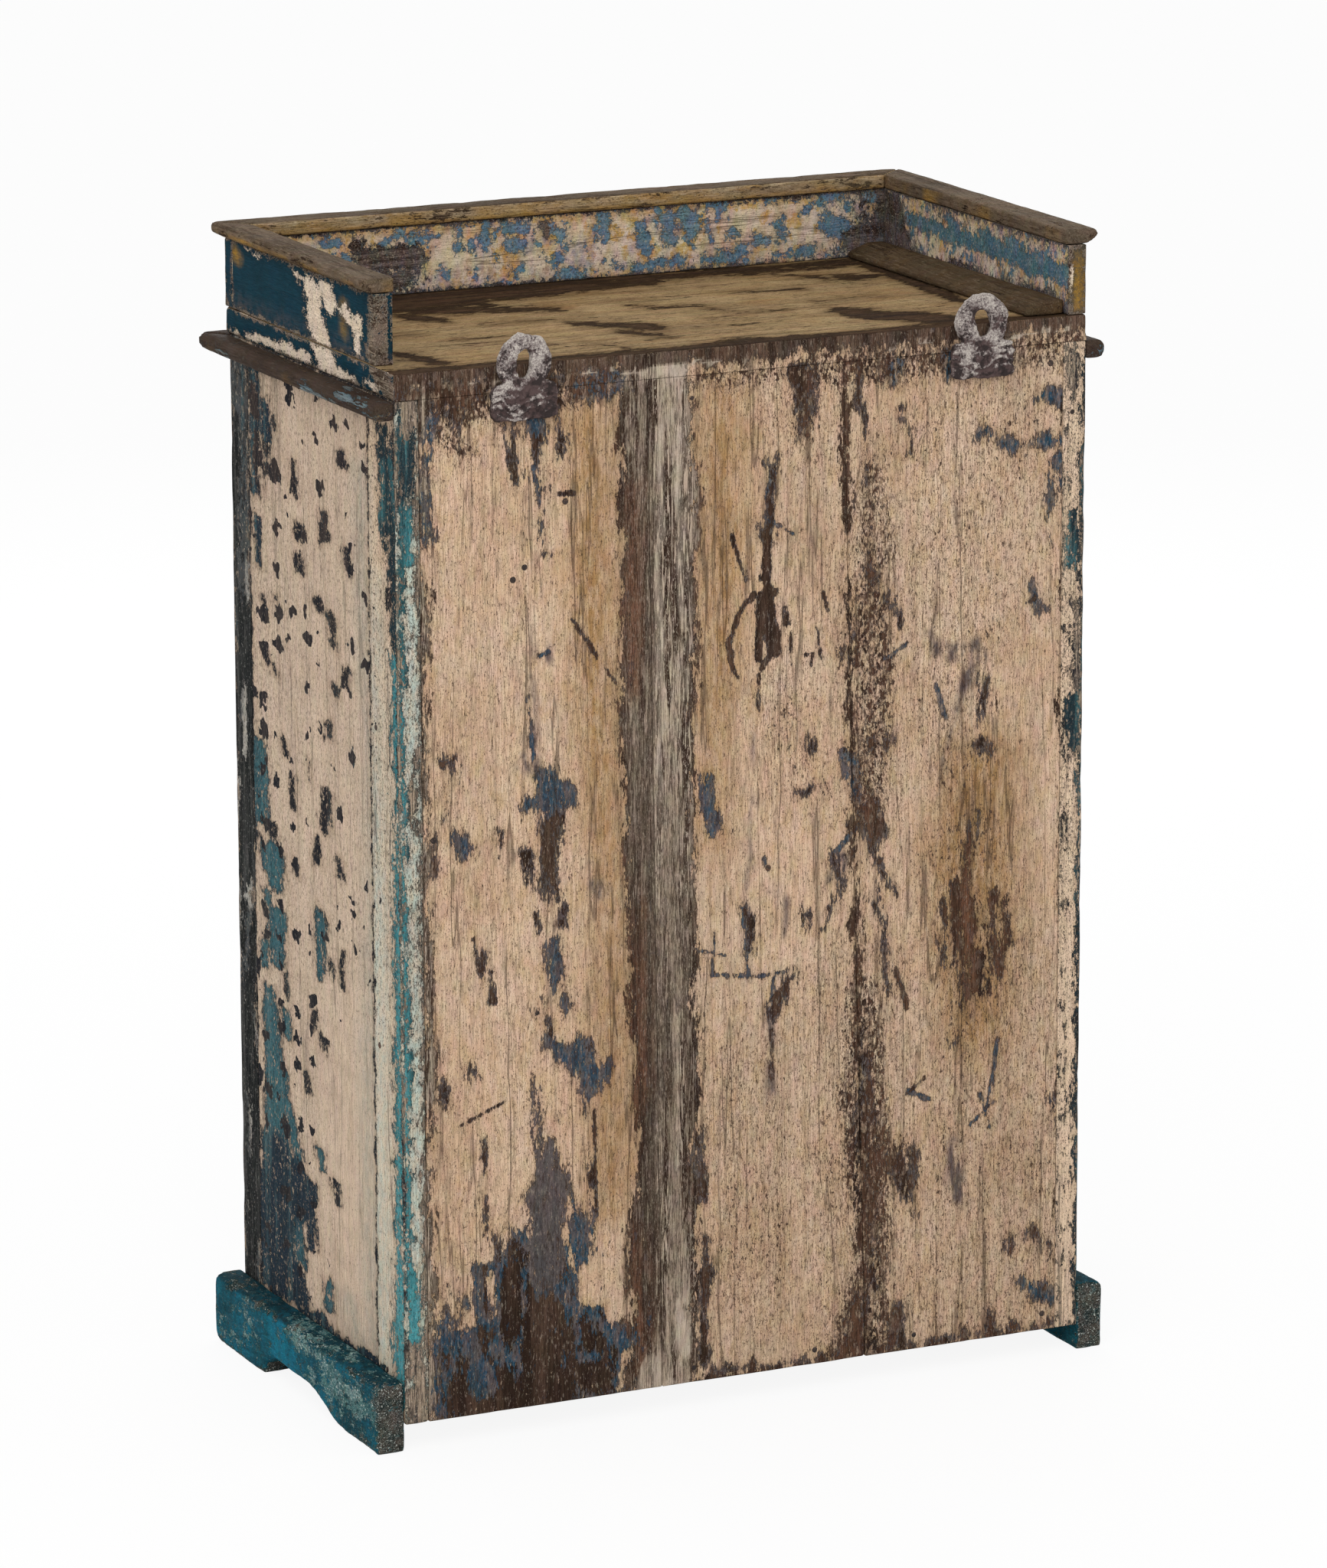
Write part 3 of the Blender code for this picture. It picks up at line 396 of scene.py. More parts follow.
backLook = {
    "shift": (0.0, 0.0, 0.0), "grain": (1.0, 1.0, 0.06), "chip": (1.0, 1.0, 0.30), "crumb": (1.0, 1.0, 0.5),
    "veil": 0.9, "isle": 0.60, "flakeScale": 110.0, "speckScale": 360.0, "ragged": 4.2, "dots": -0.04,
    "crack": 0.6, "rough": 0.66, "patchy": 0.5, "leftover": 0.8, "loose": 0.75, "flecks": 0.3,
    "dust": (0.50, 0.41, 0.32), "hue": 0.10, "streaky": 0.4, "warm": (0.55, 0.375, 0.215),
    "chalk": (0.77, 0.61, 0.46), "soil": (0.27, 0.17, 0.095), "grime": 0.30,
    "coat": (tone["cream"], tone["peach"], tone["sand"]),
    "under": (tone["slate"], tone["blue"], (0.05, 0.052, 0.056)),
    "wood": (tone["darkWood"], tone["brownWood"], (0.48, 0.385, 0.29), tone["redWood"]),
    "stain": (0.38, 0.215, 0.083), "grey": tone["violetGrey"],
}
# marks on the back, x and z in mm
backMarks = {
    "bare": [
        (206, 150, 207, 93, 13.2, 17.8), (176, 141, 177, 31, 22.4, 34.3), (231, 67, 231, 35, 34.3, 42.2),
        (137, 79, 137, 40, 19.8, 26.4), (270, 85, 270, 39, 9.2, 11.9), (219, 175, 218, 146, 2.6, 3.3),
        (255, 134, 253, 99, 1.7, 2), (265, 129, 266, 107, 1.3, 1.7), (136, 219, 134, 141, 1.7, 2),
        (231, 248, 230, 171, 1.2, 1.3), (171, 255, 173, 232, 2.6, 2), (-103, 297, -104, 249, 4, 7),
        (-102, 249, -104, 198, 9, 8), (-104, 198, -107, 152, 8, 6), (-110, 152, -113, 74, 5, 4),
        (-104, 75, -93, 28, 6, 18), (-130, 181, -140, 154, 4, 7.3), (-147, 192, -151, 140, 2, 3.3),
        (284, 847, 116, 848, 13.2, 7.9), (249, 826, 246, 799, 9.2, 2), (273, 837, 272, 810, 9.2, 2.6),
        (206, 822, 202, 795, 5.9, 3.3), (202, 795, 195, 758, 3.3, 0.7), (163, 828, 160, 788, 3.3, 1.3),
        (181, 823, 178, 775, 5.9, 3.3), (178, 775, 174, 712, 3.3, 0.7), (277, 819, 280, 766, 5.9, 7.9),
        (279, 766, 275, 723, 6.6, 2.6), (-46, 834, -49, 804, 11.9, 8.6), (-49, 804, -42, 781, 7.9, 1.3),
        (-18, 770, -21, 745, 2.6, 4), (-21, 745, -17, 709, 4, 5.9), (-96, 842, -101, 801, 1.3, 2),
        (-101, 801, -107, 762, 1.3, 1.3), (-107, 762, -105, 679, 1.3, 1.3), (-114, 668, -132, 627, 4, 1.3),
        (-138, 801, -141, 762, 2.6, 1.3), (279, 568, 252, 553, 1.7, 1), (252, 552, 260, 506, 1, 0.7),
        (171, 509, 172, 451, 9.9, 8.6), (189, 476, 189, 454, 5.9, 5.3), (170, 451, 170, 437, 5.9, 4),
        (271, 495, 270, 493, 4, 4), (274, 475, 273, 468, 5.3, 4.6), (215, 496, 215, 485, 2, 3.3),
        (184, 424, 183, 412, 2.6, 2), (160, 428, 161, 416, 2, 3.3), (184, 348, 183, 342, 4.6, 2.6),
        (232, 399, 224, 360, 2.6, 1.3), (-110, 476, -110, 460, 11.9, 11.2), (-111, 460, -110, 443, 9.2, 3.3),
        (-87, 419, -69, 385, 4, 2.6), (-113, 423, -122, 385, 1, 1.3), (-122, 385, -125, 323, 1.3, 1.3),
        (-187, 401, -193, 321, 5.9, 4), (-198, 451, -197, 391, 3.3, 6.5), (-198, 391, -196, 314, 8.5, 4),
        (-219, 391, -224, 330, 5, 5), (-205, 466, -202, 435, 2, 2.6), (-178, 393, -179, 342, 3.3, 2.6),
        (-192, 315, -188, 277, 2.6, 1.3), (-230, 387, -235, 354, 2.6, 2), (-206, 345, -210, 318, 9, 6),
        (-207, 576, -210, 542, 3.3, 2.6), (-200, 524, -215, 514, 3.3, 3.3), (-54, 399, -55, 395, 5.3, 4.6),
        (0, 410, 0, 380, 5.3, 4.6), (-40, 351, -20, 321, 3.3, 4), (-287, 540, -288, 495, 3.3, 4.6),
        (-287, 448, -287, 435, 6.6, 5.9), (142, 306, 142, 261, 5.3, 2.6), (265, 294, 264, 282, 4, 2.6),
        (184, 345, 174, 329, 4, 3.3), (-136, 184, -144, 162, 8, 5), (-135, 55, -134, 26, 7.9, 5.9),
        (-222, 43, -224, 25, 3.3, 6.6), (45, 217, 47, 179, 7.9, 9.2), (37, 139, 39, 43, 3.3, 5.3),
        (267, 25, 86, 23, 5.9, 5.3), (32, 26, -85, 25, 2.6, 3.3), (-120, 24, -289, 25, 2.6, 4.6),
        (-253, 648, -261, 641, 2.5, 2.5), (266, 296, 263, 281, 3.1, 2.5), (241, 308, 239, 304, 2.5, 2.5),
        (-76, 441, -84, 420, 3.1, 2.5), (-51, 398, -55, 394, 3.1, 3.1), (-117, 430, -129, 409, 2.5, 1.9),
        (-107, 405, -121, 384, 2.5, 1.9), (-143, 156, -150, 165, 4.3, 3.7), (-236, 104, -241, 94, 3.1, 2.5),
        (-258, 105, -272, 95, 3.7, 2.5), (-255, 52, -276, 54, 4.3, 3.7), (-294, 456, -296, 429, 2.5, 3.7),
        (-106, 672, -118, 664, 3.1, 3.1), (-118, 664, -134, 626, 2.5, 1.9), (-89, 623, -92, 599, 2.5, 3.1),
        (-50, 540, -55, 532, 3.1, 3.1), (-45, 500, -58, 501, 3.1, 2.5), (-108, 534, -124, 530, 4.3, 3.7),
    ],
    "slate": [
        (189, 291, 184, 262, 2.6, 3.3), (184, 262, 182, 233, 3.3, 4), (174, 241, 173, 195, 5.9, 15.8),
        (178, 196, 176, 132, 17.2, 15.8),
    ],
    "blue": [
        (202, 167, 196, 157, 6.6, 7.3), (155, 190, 149, 171, 4, 5.9), (149, 171, 146, 137, 7.9, 8.6),
        (170, 122, 161, 115, 5.9, 6.6), (125, 104, 122, 102, 5.3, 4.6), (137, 89, 113, 68, 9.2, 11.2),
        (110, 82, 109, 81, 5.3, 4.6), (232, 137, 233, 102, 5.3, 5.9), (246, 115, 245, 114, 4, 4),
        (267, 101, 261, 83, 6.6, 8.6), (246, 84, 234, 51, 9.2, 12.5), (219, 78, 213, 65, 5.9, 6.6),
        (156, 57, 137, 51, 4, 4.6), (270, 828, 274, 795, 6.6, 5.3), (277, 766, 273, 729, 6.6, 4),
        (188, 827, 181, 811, 5.3, 7.9), (174, 532, 172, 519, 9.2, 17.2), (190, 515, 157, 517, 5.3, 5.9),
        (249, 490, 244, 485, 7.9, 7.9), (170, 398, 170, 367, 6.6, 5.9), (162, 354, 157, 344, 3.3, 3.3),
        (180, 325, 132, 291, 4, 11.9), (147, 308, 138, 279, 10.6, 9.2), (142, 837, 116, 842, 9.2, 10.6),
        (35, 518, 34, 473, 4.6, 5.3), (-90, 525, -96, 490, 5.9, 5.9),
    ],
    "grey": [
        (189, 615, 185, 560, 1.3, 4), (191, 548, 183, 540, 7.3, 6.6), (133, 447, 131, 435, 5.3, 4),
        (178, 632, 175, 627, 7.9, 5.9), (-169, 603, -207, 590, 7.9, 9.2), (-203, 601, -186, 550, 6.6, 3.3),
        (-186, 550, -167, 481, 3.3, 1.3), (-161, 615, -162, 608, 4, 4), (-6, 547, -1, 457, 1.3, 1.3),
        (-1, 457, -2, 352, 2, 2), (-34, 411, -31, 380, 2.6, 2), (-84, 438, -78, 426, 7.3, 6.6),
        (-19, 323, -20, 243, 3.3, 3.3), (-185, 187, -189, 148, 7.9, 9.2), (183, 209, 178, 152, 9.2, 11.9),
    ],
    "strip": [
        (83, 845, 76, 754, 30.4, 33), (76, 754, 79, 595, 31.7, 31.7), (79, 595, 77, 440, 30.4, 29),
        (77, 440, 73, 327, 29, 27.7), (73, 327, 71, 220, 29, 26.4), (71, 220, 78, 132, 22.4, 31.7),
        (78, 132, 76, 23, 33, 29), (278, 845, 278, 20, 3.2, 3.8),
    ],
    "ochre": [
        (136, 807, 134, 625, 21.1, 19.8), (134, 625, 125, 489, 19.8, 17.2), (21, 822, 21, 712, 19.8, 22.4),
        (19, 712, 24, 590, 22.4, 17.2), (121, 489, 119, 188, 11.9, 15.8), (28, 590, 35, 467, 14.5, 9.2),
        (-207, 497, -201, 435, 34, 38), (-201, 435, -205, 288, 42, 30),
    ],
    "speck": [
        (-110, 762, -110, 676, 30.4, 33), (-103, 670, -107, 576, 29, 29), (-111, 576, -111, 476, 33, 29),
        (-90, 497, -63, 494, 14.5, 14.5), (-205, 766, -192, 655, 72.6, 72.6), (-179, 657, -180, 506, 46.2, 33),
        (-98, 326, -106, 42, 52.8, 59.4), (-223, 311, -218, 53, 59.4, 72.6), (-29, 830, -56, 779, 33, 33),
        (-29, 584, -43, 521, 23.8, 19.8), (-2, 274, -9, 82, 39.6, 39.6), (-194, 429, -202, 294, 46.2, 46.2),
    ],
    "teal": [
        (-263, 798, -281, 794, 6.6, 7.9), (-207, 774, -253, 759, 4.6, 4), (-258, 763, -283, 757, 5.3, 5.9),
        (-277, 744, -279, 727, 6.6, 5.3), (-283, 800, -286, 722, 4, 4.6), (-276, 218, -276, 192, 3.3, 3.3),
        (-250, 62, -279, 51, 5.3, 7.9), (-251, 652, -265, 630, 4, 3.3), (-266, 735, -269, 676, 2, 2.6),
        (-130, 837, -131, 826, 5.9, 4), (-176, 836, -177, 824, 5.9, 4.6),
    ],
    "crumble": [
        (-103, 330, -102, 249, 16, 24), (-102, 249, -107, 165, 26, 22), (-109, 165, -113, 100, 20, 17),
        (-113, 100, -100, 31, 18, 30), (284, 838, 150, 838, 24, 16), (262, 815, 240, 800, 12, 8),
        (-60, 838, -200, 836, 18, 14), (-200, 836, -285, 836, 14, 20), (150, 842, 60, 842, 16, 10),
        (-136, 190, -144, 160, 12, 9), (-110, 750, -112, 690, 14, 22), (-105, 670, -108, 600, 16, 20),
        (-112, 600, -110, 480, 20, 16), (-46, 836, -48, 790, 14, 12), (-84, 838, -280, 838, 9, 7),
        (60, 836, -40, 836, 7, 9),
    ],
    "pale": [
        (76, 802, 78, 595, 1.3, 1.3), (76, 595, 80, 409, 1.3, 1), (77, 259, 79, 183, 1, 1.7),
        (75, 182, 75, 132, 1, 0.7), (88, 44, 89, 14, 9.2, 13.2), (86, 14, 71, 21, 9.2, 6.6),
        (59, 91, 55, 52, 3.3, 5.3), (108, 850, 52, 850, 7, 7), (60, 800, 58, 640, 1, 1.4),
        (52, 610, 54, 420, 1.2, 0.8), (62, 330, 60, 200, 1, 1.6), (48, 160, 50, 60, 1.2, 1.6),
    ],
    "island": [(137, 118, 112, 92, 8, 12)],
    "scratch": [
        (152, 658, 114, 603, 1.2, 1), (-140, 788, -145, 760, 1.6, 1.2), (162, 758, 151, 758, 1.9, 1.9),
        (-247, 633, -258, 637, 1.9, 1.9), (-37, 628, -40, 589, 1.2, 1.2), (-61, 631, -64, 606, 1.2, 1.2),
        (-20, 331, -40, 348, 1.6, 1.6), (-20, 306, -22, 268, 1.6, 1.6), (250, 262, 213, 276, 1.2, 1),
        (238, 411, 234, 387, 1.9, 1.2), (234, 386, 222, 383, 1.5, 1.2), (214, 488, 216, 473, 1.5, 1.2),
        (231, 144, 230, 105, 1.2, 1.9), (135, 260, 134, 183, 1.2, 1.2), (-132, 344, -142, 310, 1.9, 1.9),
        (-142, 238, -158, 250, 1.9, 1.9), (-281, 267, -296, 272, 1.9, 1.9), (-6, 663, 3, 655, 2, 2),
        (3, 655, 11, 642, 2, 2.1), (11, 642, 16, 628, 2.1, 2.1), (16, 628, 15, 612, 2.1, 2),
        (15, 612, 9, 597, 1.9, 1.5), (15, 712, 1, 675, 1.6, 1.2), (-17, 712, -16, 672, 3.6, 4.6),
        (-9, 597, -10, 568, 1.9, 1), (-48, 610, -58, 610, 1.2, 1.2), (-57, 609, -56, 600, 1.1, 1),
        (-47, 608, -45, 601, 1.1, 1), (-32, 650, -34, 636, 1.9, 1.9), (-66, 659, -70, 644, 1.9, 1.9),
        (-13, 675, -22, 664, 3.5, 4), (-12, 662, -9, 612, 3.5, 4), (-17, 664, -19, 636, 5, 7),
        (-19, 636, -23, 616, 7.5, 6.5), (-24, 618, -12, 602, 4, 2),
    ],
    "vein": [
        (47, 380, 21, 373, 1.2, 1), (29, 392, 32, 357, 1.2, 1), (30, 358, -9, 352, 1.2, 1.2),
        (-9, 352, -43, 353, 1.2, 1), (6, 411, -1, 353, 1.6, 1.2), (-15, 447, -18, 437, 1.5, 1.2),
        (-79, 447, -96, 464, 2.5, 1.9), (-200, 205, -221, 222, 1.6, 1.5), (-225, 274, -214, 211, 1.5, 1.5),
        (-210, 230, -218, 201, 1.6, 1.9), (-142, 242, -164, 231, 1.9, 1.9), (-23, 350, -20, 331, 1.5, 1.5),
        (-13, 725, -40, 708, 1.9, 1.5), (-23, 760, -17, 741, 1.9, 1.9), (179, 631, 173, 634, 2.5, 1.9),
        (190, 600, 186, 550, 1.9, 2.5), (184, 782, 175, 722, 1.9, 1.2), (-123, 600, -141, 610, 1.9, 1.9),
        (-167, 573, -176, 547, 2.5, 1.9),
    ],
    "wash": [
        (-223, 311, -218, 53, 55, 65), (-9, 290, -15, 60, 40, 50), (-108, 770, -108, 480, 34, 34),
        (-105, 330, -105, 40, 45, 50), (-200, 480, -205, 260, 50, 45), (30, 830, 34, 60, 10, 8),
        (116, 830, 120, 200, 12, 12), (290, 838, -290, 838, 26, 22), (272, 700, 270, 120, 4, 5),
        (-50, 790, -60, 700, 30, 34),
    ],
    "burn": [
        (113, 815, 112, 560, 9, 8), (110, 560, 108, 240, 5, 6), (45, 825, 46, 600, 6, 4),
        (22, 800, 24, 700, 4, 3), (126, 790, 124, 600, 3, 2),
    ],
    "knot": [(-200, 430, -198, 380, 10, 18), (-202, 380, -206, 300, 22, 12), (-226, 395, -228, 350, 8, 8)],
    "rimBlue": [(285, 60, 110, 70, 40, 45), (230, 130, 130, 140, 20, 30)],
    "red": [
        (97, 418, 101, 375, 5, 11), (101, 375, 99, 287, 11, 12), (99, 287, 100, 236, 12, 9),
        (102, 148, 96, 71, 10, 12), (96, 71, 97, 32, 10, 5), (100, 756, 101, 683, 4, 9),
        (101, 683, 99, 597, 9, 6),
    ],
}
backBuild = {"grid": 0.0021, "round": 0.0022, "sharpTop": 0.006}
# seams of the back: x at the foot and at the top
backSeams = {"right": (0.0760, 0.0860), "left": (-0.1060, -0.0840), "gap": 0.00015}
backCracks = [
    (0.1494, 0.795, 0.700, 0.0016), (0.1290, 0.836, 0.752, 0.0014), (0.2165, 0.610, 0.470, 0.0009),
    (-0.0105, 0.560, 0.330, 0.0011), (-0.1395, 0.802, 0.758, 0.0014), (-0.2660, 0.735, 0.600, 0.0010),
    (0.0330, 0.470, 0.200, 0.0010), (-0.1900, 0.330, 0.120, 0.0010),
]


def cracksOn(cracks, low, high, half=0.0006, clear=0.005):
    # the cracks clear of a board's edges, and the grid lines that they need
    kept = [c for c in cracks if low + clear < c[0] < high - clear]
    return kept, [c[0] + d for c in kept for d in (-half, 0, half)]


def crackIn(points, cracks, across, face, outward):
    # presses a thin groove into one face, along the grain lines set for it
    for place, top, foot, depth in cracks:
        on = (np.abs(points[:, across] - place) < 1e-5) & (np.abs(points[:, face] - outward) < 0.0008)
        ends = np.clip(np.minimum(points[:, 2] - foot, top - points[:, 2]) / 0.02, 0, 1)
        points[on, face] -= np.sign(outward) * (depth * ends)[on]
    return points


def backWear(points, rear, gap):
    x, z = points[:, 0], points[:, 2]
    flat = np.column_stack([x, z * 0.4])
    u = x + (lumps(flat, 0.012, 3) - 0.5) * 0.010
    v = z + (lumps(flat, 0.015, 4) - 0.5) * 0.016
    m = {}
    for key, marks in backMarks.items():
        sway = 0.12 if key in ("scratch", "vein") else 1.0  # fine marks keep their shape
        m[key] = strokes(x + (u - x) * sway, z + (v - z) * sway, marks)
    rub = 0.0006 + 0.0045 * lumps(np.column_stack([x * 0.5, z * 0.5]), 0.016, 5) ** 2 - gap
    rub = np.where((x < -0.26) | (z > 0.83), rub - 0.004, rub)
    knot = inMark(m["knot"], 0.014)
    blue, teal, strip = m["blue"], m["teal"], m["strip"]
    loss = np.maximum.reduce([m["bare"], blue, teal, m["slate"], strip, rub])
    inBlue = inMark(m["rimBlue"], 0.01)
    bare = np.maximum(m["bare"] - (0.0035 + 0.0045 * inBlue) * (1 - knot), strip - 0.0008)
    bare = np.maximum(np.minimum(bare, -np.maximum.reduce([blue, teal, m["slate"]])), rub - 0.0006)
    loss = np.minimum(loss, -m["island"])
    inside = points[:, 1] < rear - 0.004
    loss, bare = np.where(inside, -0.010, loss), np.where(inside, -0.010, bare)
    dots = inMark(m["speck"], 0.02) * 0.4
    dots = np.maximum(dots, inMark(m["crumble"], 0.008) * np.where(z > 0.45, 0.88, 1.0))
    pale = inMark(m["pale"], 0.004)
    bleached = np.interp(z, (0.03, 0.12, 0.25, 0.45, 0.60), (0.9, 0.7, 0.45, 0.6, 1.0))  # least at mid height
    bleached = np.where(x > 0.2, 0.8, np.where(x > 0.081, 0.36, 0.65) * bleached)
    thinLoss, thinBare = [np.where(inside, 0, level(t, 0.0026))
                          for t in (np.maximum(m["scratch"], m["vein"]), m["scratch"] - 0.0006)]
    wear = [np.maximum(level(loss), thinLoss), np.maximum(level(bare), thinBare), np.where(inside, 0, dots),
            inMark(strip, 0.008) * bleached + pale * 0.6]
    shade = np.maximum.reduce([inMark(blue, 0.004) * 0.8, level(teal, 0.004), level(m["vein"], 0.003),
                               inBlue * 0.9])
    shade = np.where(m["slate"] > 0, np.clip(shade - 0.9, 0, 1), shade)
    wash = np.maximum.reduce([inMark(m["wash"], 0.03) * 0.5, knot, inMark(m["burn"], 0.013) * 0.95])
    red = np.maximum(level(m["red"], 0.010), np.where(strip > 0, 0, wash))
    tint = [level(m["ochre"], 0.02), level(m["grey"], 0.003), shade, red]
    return wear, [np.where(inside, 0, t) for t in tint]


print("painting the back")
backFinish = oldPaint("backPaint", backLook, marked=True)
for name, node, left, right in (("backLeft", "back_board_left", None, "left"),
                                ("backMiddle", "back_board_middle", "left", "right"),
                                ("backRight", "back_board_right", "right", None)):
    boxLow, boxHigh = boardBox(node)
    rise = lambda z: (z - boxLow[2]) / (boxHigh[2] - boxLow[2])
    edgeLow = (lambda z: boxLow[0] + 0 * z) if left is None else (
        lambda z, s=backSeams[left]: s[0] + (s[1] - s[0]) * rise(z) + backSeams["gap"])
    edgeHigh = (lambda z: boxHigh[0] + 0 * z) if right is None else (
        lambda z, s=backSeams[right]: s[0] + (s[1] - s[0]) * rise(z) - backSeams["gap"])
    middle = (boxLow[2] + boxHigh[2]) / 2
    low, high = boxLow.copy(), boxHigh.copy()
    low[0], high[0] = edgeLow(middle), edgeHigh(middle)
    cracks, lines = cracksOn(backCracks, low[0], high[0])
    points, faces = gridBoard(low, high, backBuild["grid"], (lines, (), ()))
    gap = cornerGap(points, low, high)
    points = crackIn(points, cracks, 0, 1, high[1])
    sharp = points[:, 2] > high[2] - backBuild["sharpTop"]
    points = rubEdges(points, low, high, backBuild["round"], len(name), sharp)
    share = (points[:, 0] - low[0]) / (high[0] - low[0])
    lean = edgeLow(points[:, 2]) - low[0], edgeHigh(points[:, 2]) - high[0]
    points[:, 0] += (1 - share) * lean[0] + share * lean[1]
    piece = makePiece(name, points, faces, "carcass", [node], [backFinish])
    wear, tint = backWear(points, high[1], gap)
    putMarks(piece, wear=wear, tint=tint)
    print(" ", name, len(faces) * 2, "triangles")


sideLook = {
    **backLook, "shift": (3.0, 1.0, 2.0), "ragged": 1.9, "dots": -0.25, "veil": 0.35, "isle": 0.585,
    "leftover": 0.9, "loose": 0.0, "hue": 0.06, "warm": (0.60, 0.46, 0.33), "chipScale": 80.0,
    "chipShape": (1.0, 0.42, 0.58), "chipSize": 0.58, "crack": 0.36, "grime": 0.2,
    "coat": ((0.65, 0.50, 0.37), (0.67, 0.51, 0.385), (0.58, 0.445, 0.32)), "chalk": (0.76, 0.62, 0.49),
    "patchy": 0.45, "wood": ((0.020, 0.020, 0.024), (0.050, 0.045, 0.043), tone["greyWood"], tone["redWood"]),
    "under": (tone["navy"], (0.055, 0.145, 0.165), (0.10, 0.19, 0.20)), "stain": (0.32, 0.34, 0.285),
    "chip": (1.0, 0.6, 0.45),
}
rearLook = {
    **sideLook, "shift": (3.0, 5.0, 2.0), "chipSize": 0.2, "ragged": 3.2, "dots": -0.13, "flecks": 0.3,
    "patchy": 0.5, "crack": 0.6, "flakeScale": 130.0, "stain": (0.47, 0.56, 0.50),
    "coat": ((0.76, 0.57, 0.40), (0.78, 0.58, 0.415), (0.68, 0.51, 0.35)),
    "under": ((0.020, 0.038, 0.046), (0.075, 0.34, 0.375), (0.15, 0.40, 0.42)),
}
sideMarks = {
    "chip": [
        (-112, 809, -107, 785, 4.6, 4), (-67, 789, -65, 782, 2.6, 2.6), (-104, 769, -105, 740, 2.6, 3.3),
        (-80, 764, -80, 742, 3.3, 3.3), (-101, 730, -99, 727, 2.6, 2), (-29, 762, -25, 735, 2.6, 4),
        (71, 784, 70, 777, 3.3, 4), (-15, 709, -15, 701, 4, 4), (34, 727, 35, 709, 2.6, 4),
        (-19, 684, -16, 676, 3.3, 3.3), (76, 706, 81, 691, 2.6, 2), (16, 659, 20, 652, 2.6, 3.3),
        (43, 648, 50, 628, 4, 2.6), (159, 693, 161, 681, 2.6, 3.3), (76, 612, 71, 599, 2.6, 2.6),
        (52, 594, 52, 591, 4, 3.3), (36, 563, 35, 552, 2.6, 3.3), (-55, 528, -53, 519, 2, 2.6),
        (-3, 519, -3, 507, 1.3, 2), (-37, 502, -39, 476, 2, 2), (34, 504, 25, 473, 4, 4),
        (11, 460, 11, 440, 2.6, 3.3), (-34, 436, -32, 424, 2, 2.6), (55, 453, 56, 441, 2, 2.6),
        (35, 364, 37, 355, 2, 2), (59, 379, 57, 351, 2, 2), (18, 404, 19, 398, 2.6, 2.6),
        (-18, 260, -14, 248, 3.3, 2.6), (18, 300, 20, 288, 2.6, 2), (39, 185, 41, 172, 3.3, 3.3),
        (-39, 128, -33, 114, 4, 3.3), (3, 319, 2, 303, 1.3, 1.3), (-59, 335, -58, 317, 2, 2),
        (-92, 638, -90, 632, 2, 2), (-69, 645, -68, 639, 2, 2), (-92, 594, -89, 587, 2, 2),
        (-71, 587, -69, 580, 2, 2), (-108, 436, -105, 427, 3.3, 3.3), (-81, 451, -80, 444, 3.3, 3.3),
    ],
    "teal": [
        (-110, 512, -108, 458, 8, 9), (-81, 430, -77, 408, 9, 7), (-100, 426, -98, 415, 5, 4),
        (-75, 380, -76, 341, 8, 7), (-92, 310, -86, 245, 5, 9), (-80, 247, -84, 181, 10, 9),
        (-60, 225, -40, 190, 5, 6), (22, 94, 23, 78, 5, 4), (15, 397, 15, 353, 5, 4),
        (-60, 300, -56, 285, 4, 4), (-40, 135, -36, 100, 4, 5), (8, 205, 12, 190, 4, 3),
        (-96, 395, -95, 385, 4, 3), (-104, 350, -103, 330, 4, 4),
    ],
    "navy": [
        (-85, 187, -67, 147, 12, 22), (-46, 168, -26, 165, 18, 12), (-16, 150, -10, 120, 5, 4),
        (-79, 144, -103, 72, 19, 17), (-60, 100, -40, 70, 6, 8), (-108, 828, -108, 723, 5, 4),
        (-88, 800, -84, 770, 4, 5), (-104, 700, -103, 660, 3, 2), (-126, 556, -128, 428, 3.3, 4),
        (-131, 64, 130, 54, 6.6, 5.3), (152, 818, 166, 740, 5, 9), (168, 740, 172, 650, 6, 4),
    ],
    "rear": [
        (160, 790, 164, 750, 4, 5), (171, 640, 174, 513, 3, 2), (173, 512, 170, 351, 2, 3.5),
        (170, 351, 169, 151, 3.5, 3.5), (169, 151, 166, 40, 4, 7),
    ],
    "endNavy": [(291, 835, 291, 775, 11, 7), (294, 775, 297, 690, 5, 3), (297, 700, 297, 600, 3, 2)],
    "endTeal": [
        (293, 760, 291, 720, 4, 5), (297, 720, 297, 500, 2.2, 2.4), (296.5, 500, 296, 330, 2.4, 3),
        (296, 330, 295.5, 110, 3, 3.4), (293, 150, 292, 95, 4, 7),
    ],
    "endBare": [
        (290, 90, 290, 22, 4, 12), (281, 838, 281, 24, 1.8, 2.4), (290, 840, 290, 815, 11, 5),
        (286, 560, 286, 500, 3, 2),
    ],
    "stain": [
        (107, 779, 112, 604, 4, 4), (128, 700, 130, 400, 5, 8), (128, 400, 130, 40, 9, 10),
        (104, 330, 110, 60, 3, 5), (168, 640, 168, 40, 2, 3), (60, 90, 100, 50, 6, 6),
    ],
}
sideCracks = [
    (0.0030, 0.800, 0.700, 0.0015), (-0.0270, 0.640, 0.520, 0.0013), (0.0510, 0.420, 0.330, 0.0010),
    (-0.0640, 0.330, 0.120, 0.0012), (0.0880, 0.260, 0.060, 0.0010),
]
shelves = [(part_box(n)[0].z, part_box(n)[1].z) for n in ("lower_shelf", "upper_shelf")]
housing = {"depth": 0.0063, "front": -0.11695, "rear": 0.16335, "slack": 0.0003, "nick": 2e-5, "wall": 0.0001}
